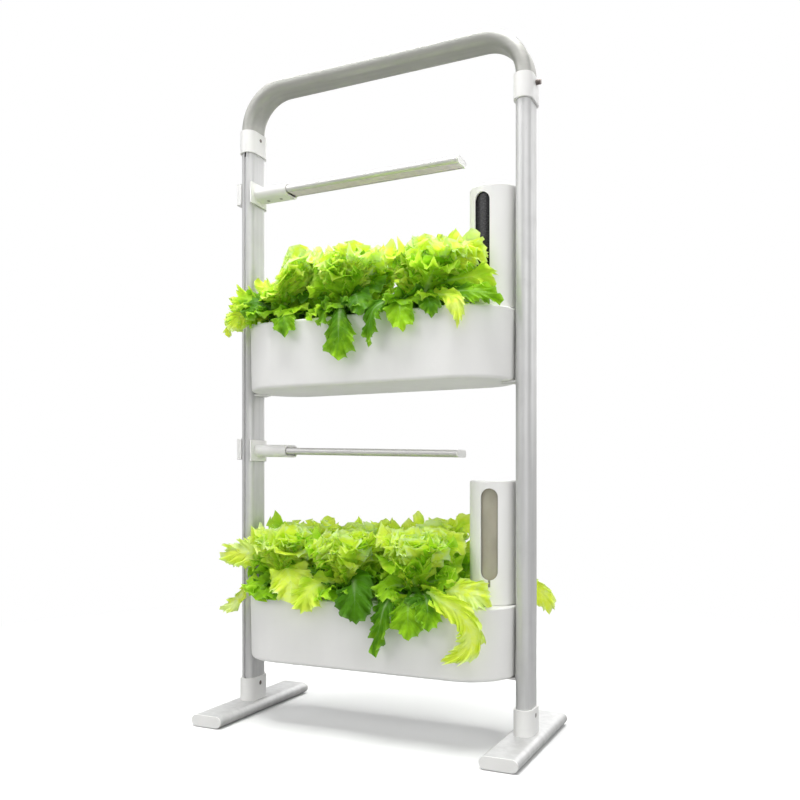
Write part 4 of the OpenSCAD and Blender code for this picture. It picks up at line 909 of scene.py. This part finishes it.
def lettuce(tier, i):
    """All the leaves of one head and the root plug in its cup, as one object on its body."""
    rng = np.random.default_rng(1000 * TIERS.index(tier) + 37 * i + 11)
    base = np.array([CUP_X[i % 3], CUP_Y[0 if i < 3 else 1], DECK_TOP[tier]])
    made = head(rng, tier, i, base)
    made += [long_leaf(rng, base, *row) for row in LEAVES[tier].get(i + 1, [])]
    verts = clear(np.concatenate([m[0] for m in made]), DECK_TOP[tier])
    faces, tones = [], []
    for v, q, uv, tone in made:
        faces += (q + len(tones)).tolist()
        tones += [tone] * len(v)
    leaf_faces, leaf_verts = len(faces), len(verts)
    plug, plug_faces = root_plug(rng, base)
    faces += [[leaf_verts + k for k in f] for f in plug_faces]
    verts = np.concatenate([verts, plug])
    uv_all = np.concatenate([m[2] for m in made] + [np.zeros((len(plug), 2))])
    tones += [0.0] * len(plug)

    me = bpy.data.meshes.new(f"{tier}_plant_{i + 1}_leaves")
    me.from_pydata((verts * MM).tolist(), [], faces)
    me.materials.append(LEAF)
    me.materials.append(COIR)
    layer = me.uv_layers.new(name="blade")
    loops = np.zeros(len(me.loops), int)
    me.loops.foreach_get("vertex_index", loops)
    layer.data.foreach_set("uv", uv_all[loops].astype(np.float32).ravel())
    tone_data = me.attributes.new("tone", "FLOAT", "POINT").data
    tone_data.foreach_set("value", np.array(tones, np.float32))
    slots = np.zeros(len(me.polygons), int)
    slots[leaf_faces:] = 1
    me.polygons.foreach_set("material_index", slots)
    me.polygons.foreach_set("use_smooth", np.ones(len(me.polygons), bool))
    me.validate()
    me.update()
    ob = bpy.data.objects.new(me.name, me)
    bpy.context.scene.collection.objects.link(ob)
    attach(ob, f"{tier}_plant_{i + 1}")
    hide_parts(f"{tier}_lettuce_{i + 1}")


for tier in TIERS:
    for i in range(len(CUP_X) * len(CUP_Y)):
        lettuce(tier, i)


# ---------------------------------------------------------------- camera, lights, surroundings

def add_object(name, data):
    ob = bpy.data.objects.new(name, data)
    bpy.context.scene.collection.objects.link(ob)
    return ob


cam_data = bpy.data.cameras.new("camera")
cam = add_object("camera", cam_data)
cam.location = (0.6265, -1.2501, 0.3985)
cam.rotation_euler = (math.radians(90), 0, math.radians(25.23))
cam_data.sensor_width = 36
cam_data.lens = 38.16
cam_data.shift_y = 0.1048
cam_data.clip_start, cam_data.clip_end = 0.05, 60
bpy.context.scene.camera = cam
bpy.context.scene.view_settings.view_transform = "Standard"


def softbox(name, at, target, size, power):
    data = bpy.data.lights.new(name, "AREA")
    data.shape = "RECTANGLE"
    data.size, data.size_y = size
    data.energy = power
    ob = add_object(name, data)
    ob.location = at
    ob.rotation_euler = (Vector(target) - Vector(at)).to_track_quat("-Z", "Y").to_euler()
    ob.visible_camera = False


softbox("key", at=(-1.8, -2.2, 1.9), target=(0, 0, 0.5), size=(2.0, 1.8), power=29)
softbox("fill", at=(2.4, -1.8, 1.1), target=(0, 0, 0.5), size=(2.4, 2.4), power=28.5)
softbox("top", at=(0.0, -0.25, 2.9), target=(0, 0, 0.4), size=(1.7, 1.5), power=106)
softbox("back", at=(0.3, 2.5, 1.7), target=(0, 0, 0.6), size=(3.2, 2.2), power=34)

WHITE = (1, 1, 1)


def make_world():
    """A soft room for the light, brighter and darker walls for the metal to mirror, and white
    for the camera."""
    world = bpy.data.worlds.new("studio")
    bpy.context.scene.world = world
    world.use_nodes = True
    g = Graph(world.node_tree)

    def background(colour, strength):
        return g.add("ShaderNodeBackground", {"Color": colour, "Strength": strength}).outputs[0]

    path = g.add("ShaderNodeLightPath")
    way = g.add("ShaderNodeSeparateXYZ", {
        "Vector": g.add("ShaderNodeTexCoord").outputs["Generated"]})
    x, y, z = way.outputs
    room = g.mix(g.remap(z, -0.3, 0.7), (0.50, 0.505, 0.51), (0.86, 0.865, 0.87))
    # what the metal mirrors: a bright wall behind and to the right, a greyer one in front
    across = g.plus(g.times(x, 0.75), g.times(y, 0.65))
    walls = g.mix(g.remap(across, -0.9, 0.9, smooth=True), (0.58, 0.58, 0.585),
                  (0.95, 0.95, 0.94))
    mirrored = g.mix(g.remap(z, 0.25, 0.8, smooth=True), walls, (0.90, 0.90, 0.92))
    lit = g.mix_shader(path.outputs["Is Glossy Ray"], background(room, 0.47),
                       background(mirrored, 0.80))
    seen = g.mix_shader(path.outputs["Is Camera Ray"], lit, background(WHITE, 1.0))
    g.add("ShaderNodeOutputWorld", {"Surface": seen})


def make_floor():
    """White floor that shows the shadow near the feet and melts into the white beyond."""
    half, white_from, white_at = 6, 0.55, 1.5       # metres from the middle
    me = bpy.data.meshes.new("floor")
    me.from_pydata([(-half, -half, 0), (half, -half, 0), (half, half, 0), (-half, half, 0)], [],
                   [(0, 1, 2, 3)])
    floor = add_object("floor", me)
    m, g, at = new_material("floor_white")
    distance = g.add("ShaderNodeVectorMath", {0: at}, operation="LENGTH").outputs["Value"]
    far = g.remap(distance, white_from, white_at, smooth=True)
    eye = g.add("ShaderNodeLightPath").outputs["Is Camera Ray"]
    # a darker floor for the light that bounces, a paler one for the eye
    diffuse = g.add("ShaderNodeBsdfDiffuse", {
        "Color": g.mix(eye, (0.38, 0.38, 0.38), (0.80, 0.805, 0.80))})
    lift = g.add("ShaderNodeEmission", {"Color": WHITE, "Strength": g.times(eye, 0.02)})
    near = g.add("ShaderNodeAddShader", {0: diffuse.outputs[0], 1: lift.outputs[0]})
    glow = g.add("ShaderNodeEmission", {"Color": WHITE, "Strength": 1.0})
    g.add("ShaderNodeOutputMaterial", {
        "Surface": g.mix_shader(g.times(far, eye), near.outputs[0], glow.outputs[0])})
    me.materials.append(m)


make_world()
make_floor()
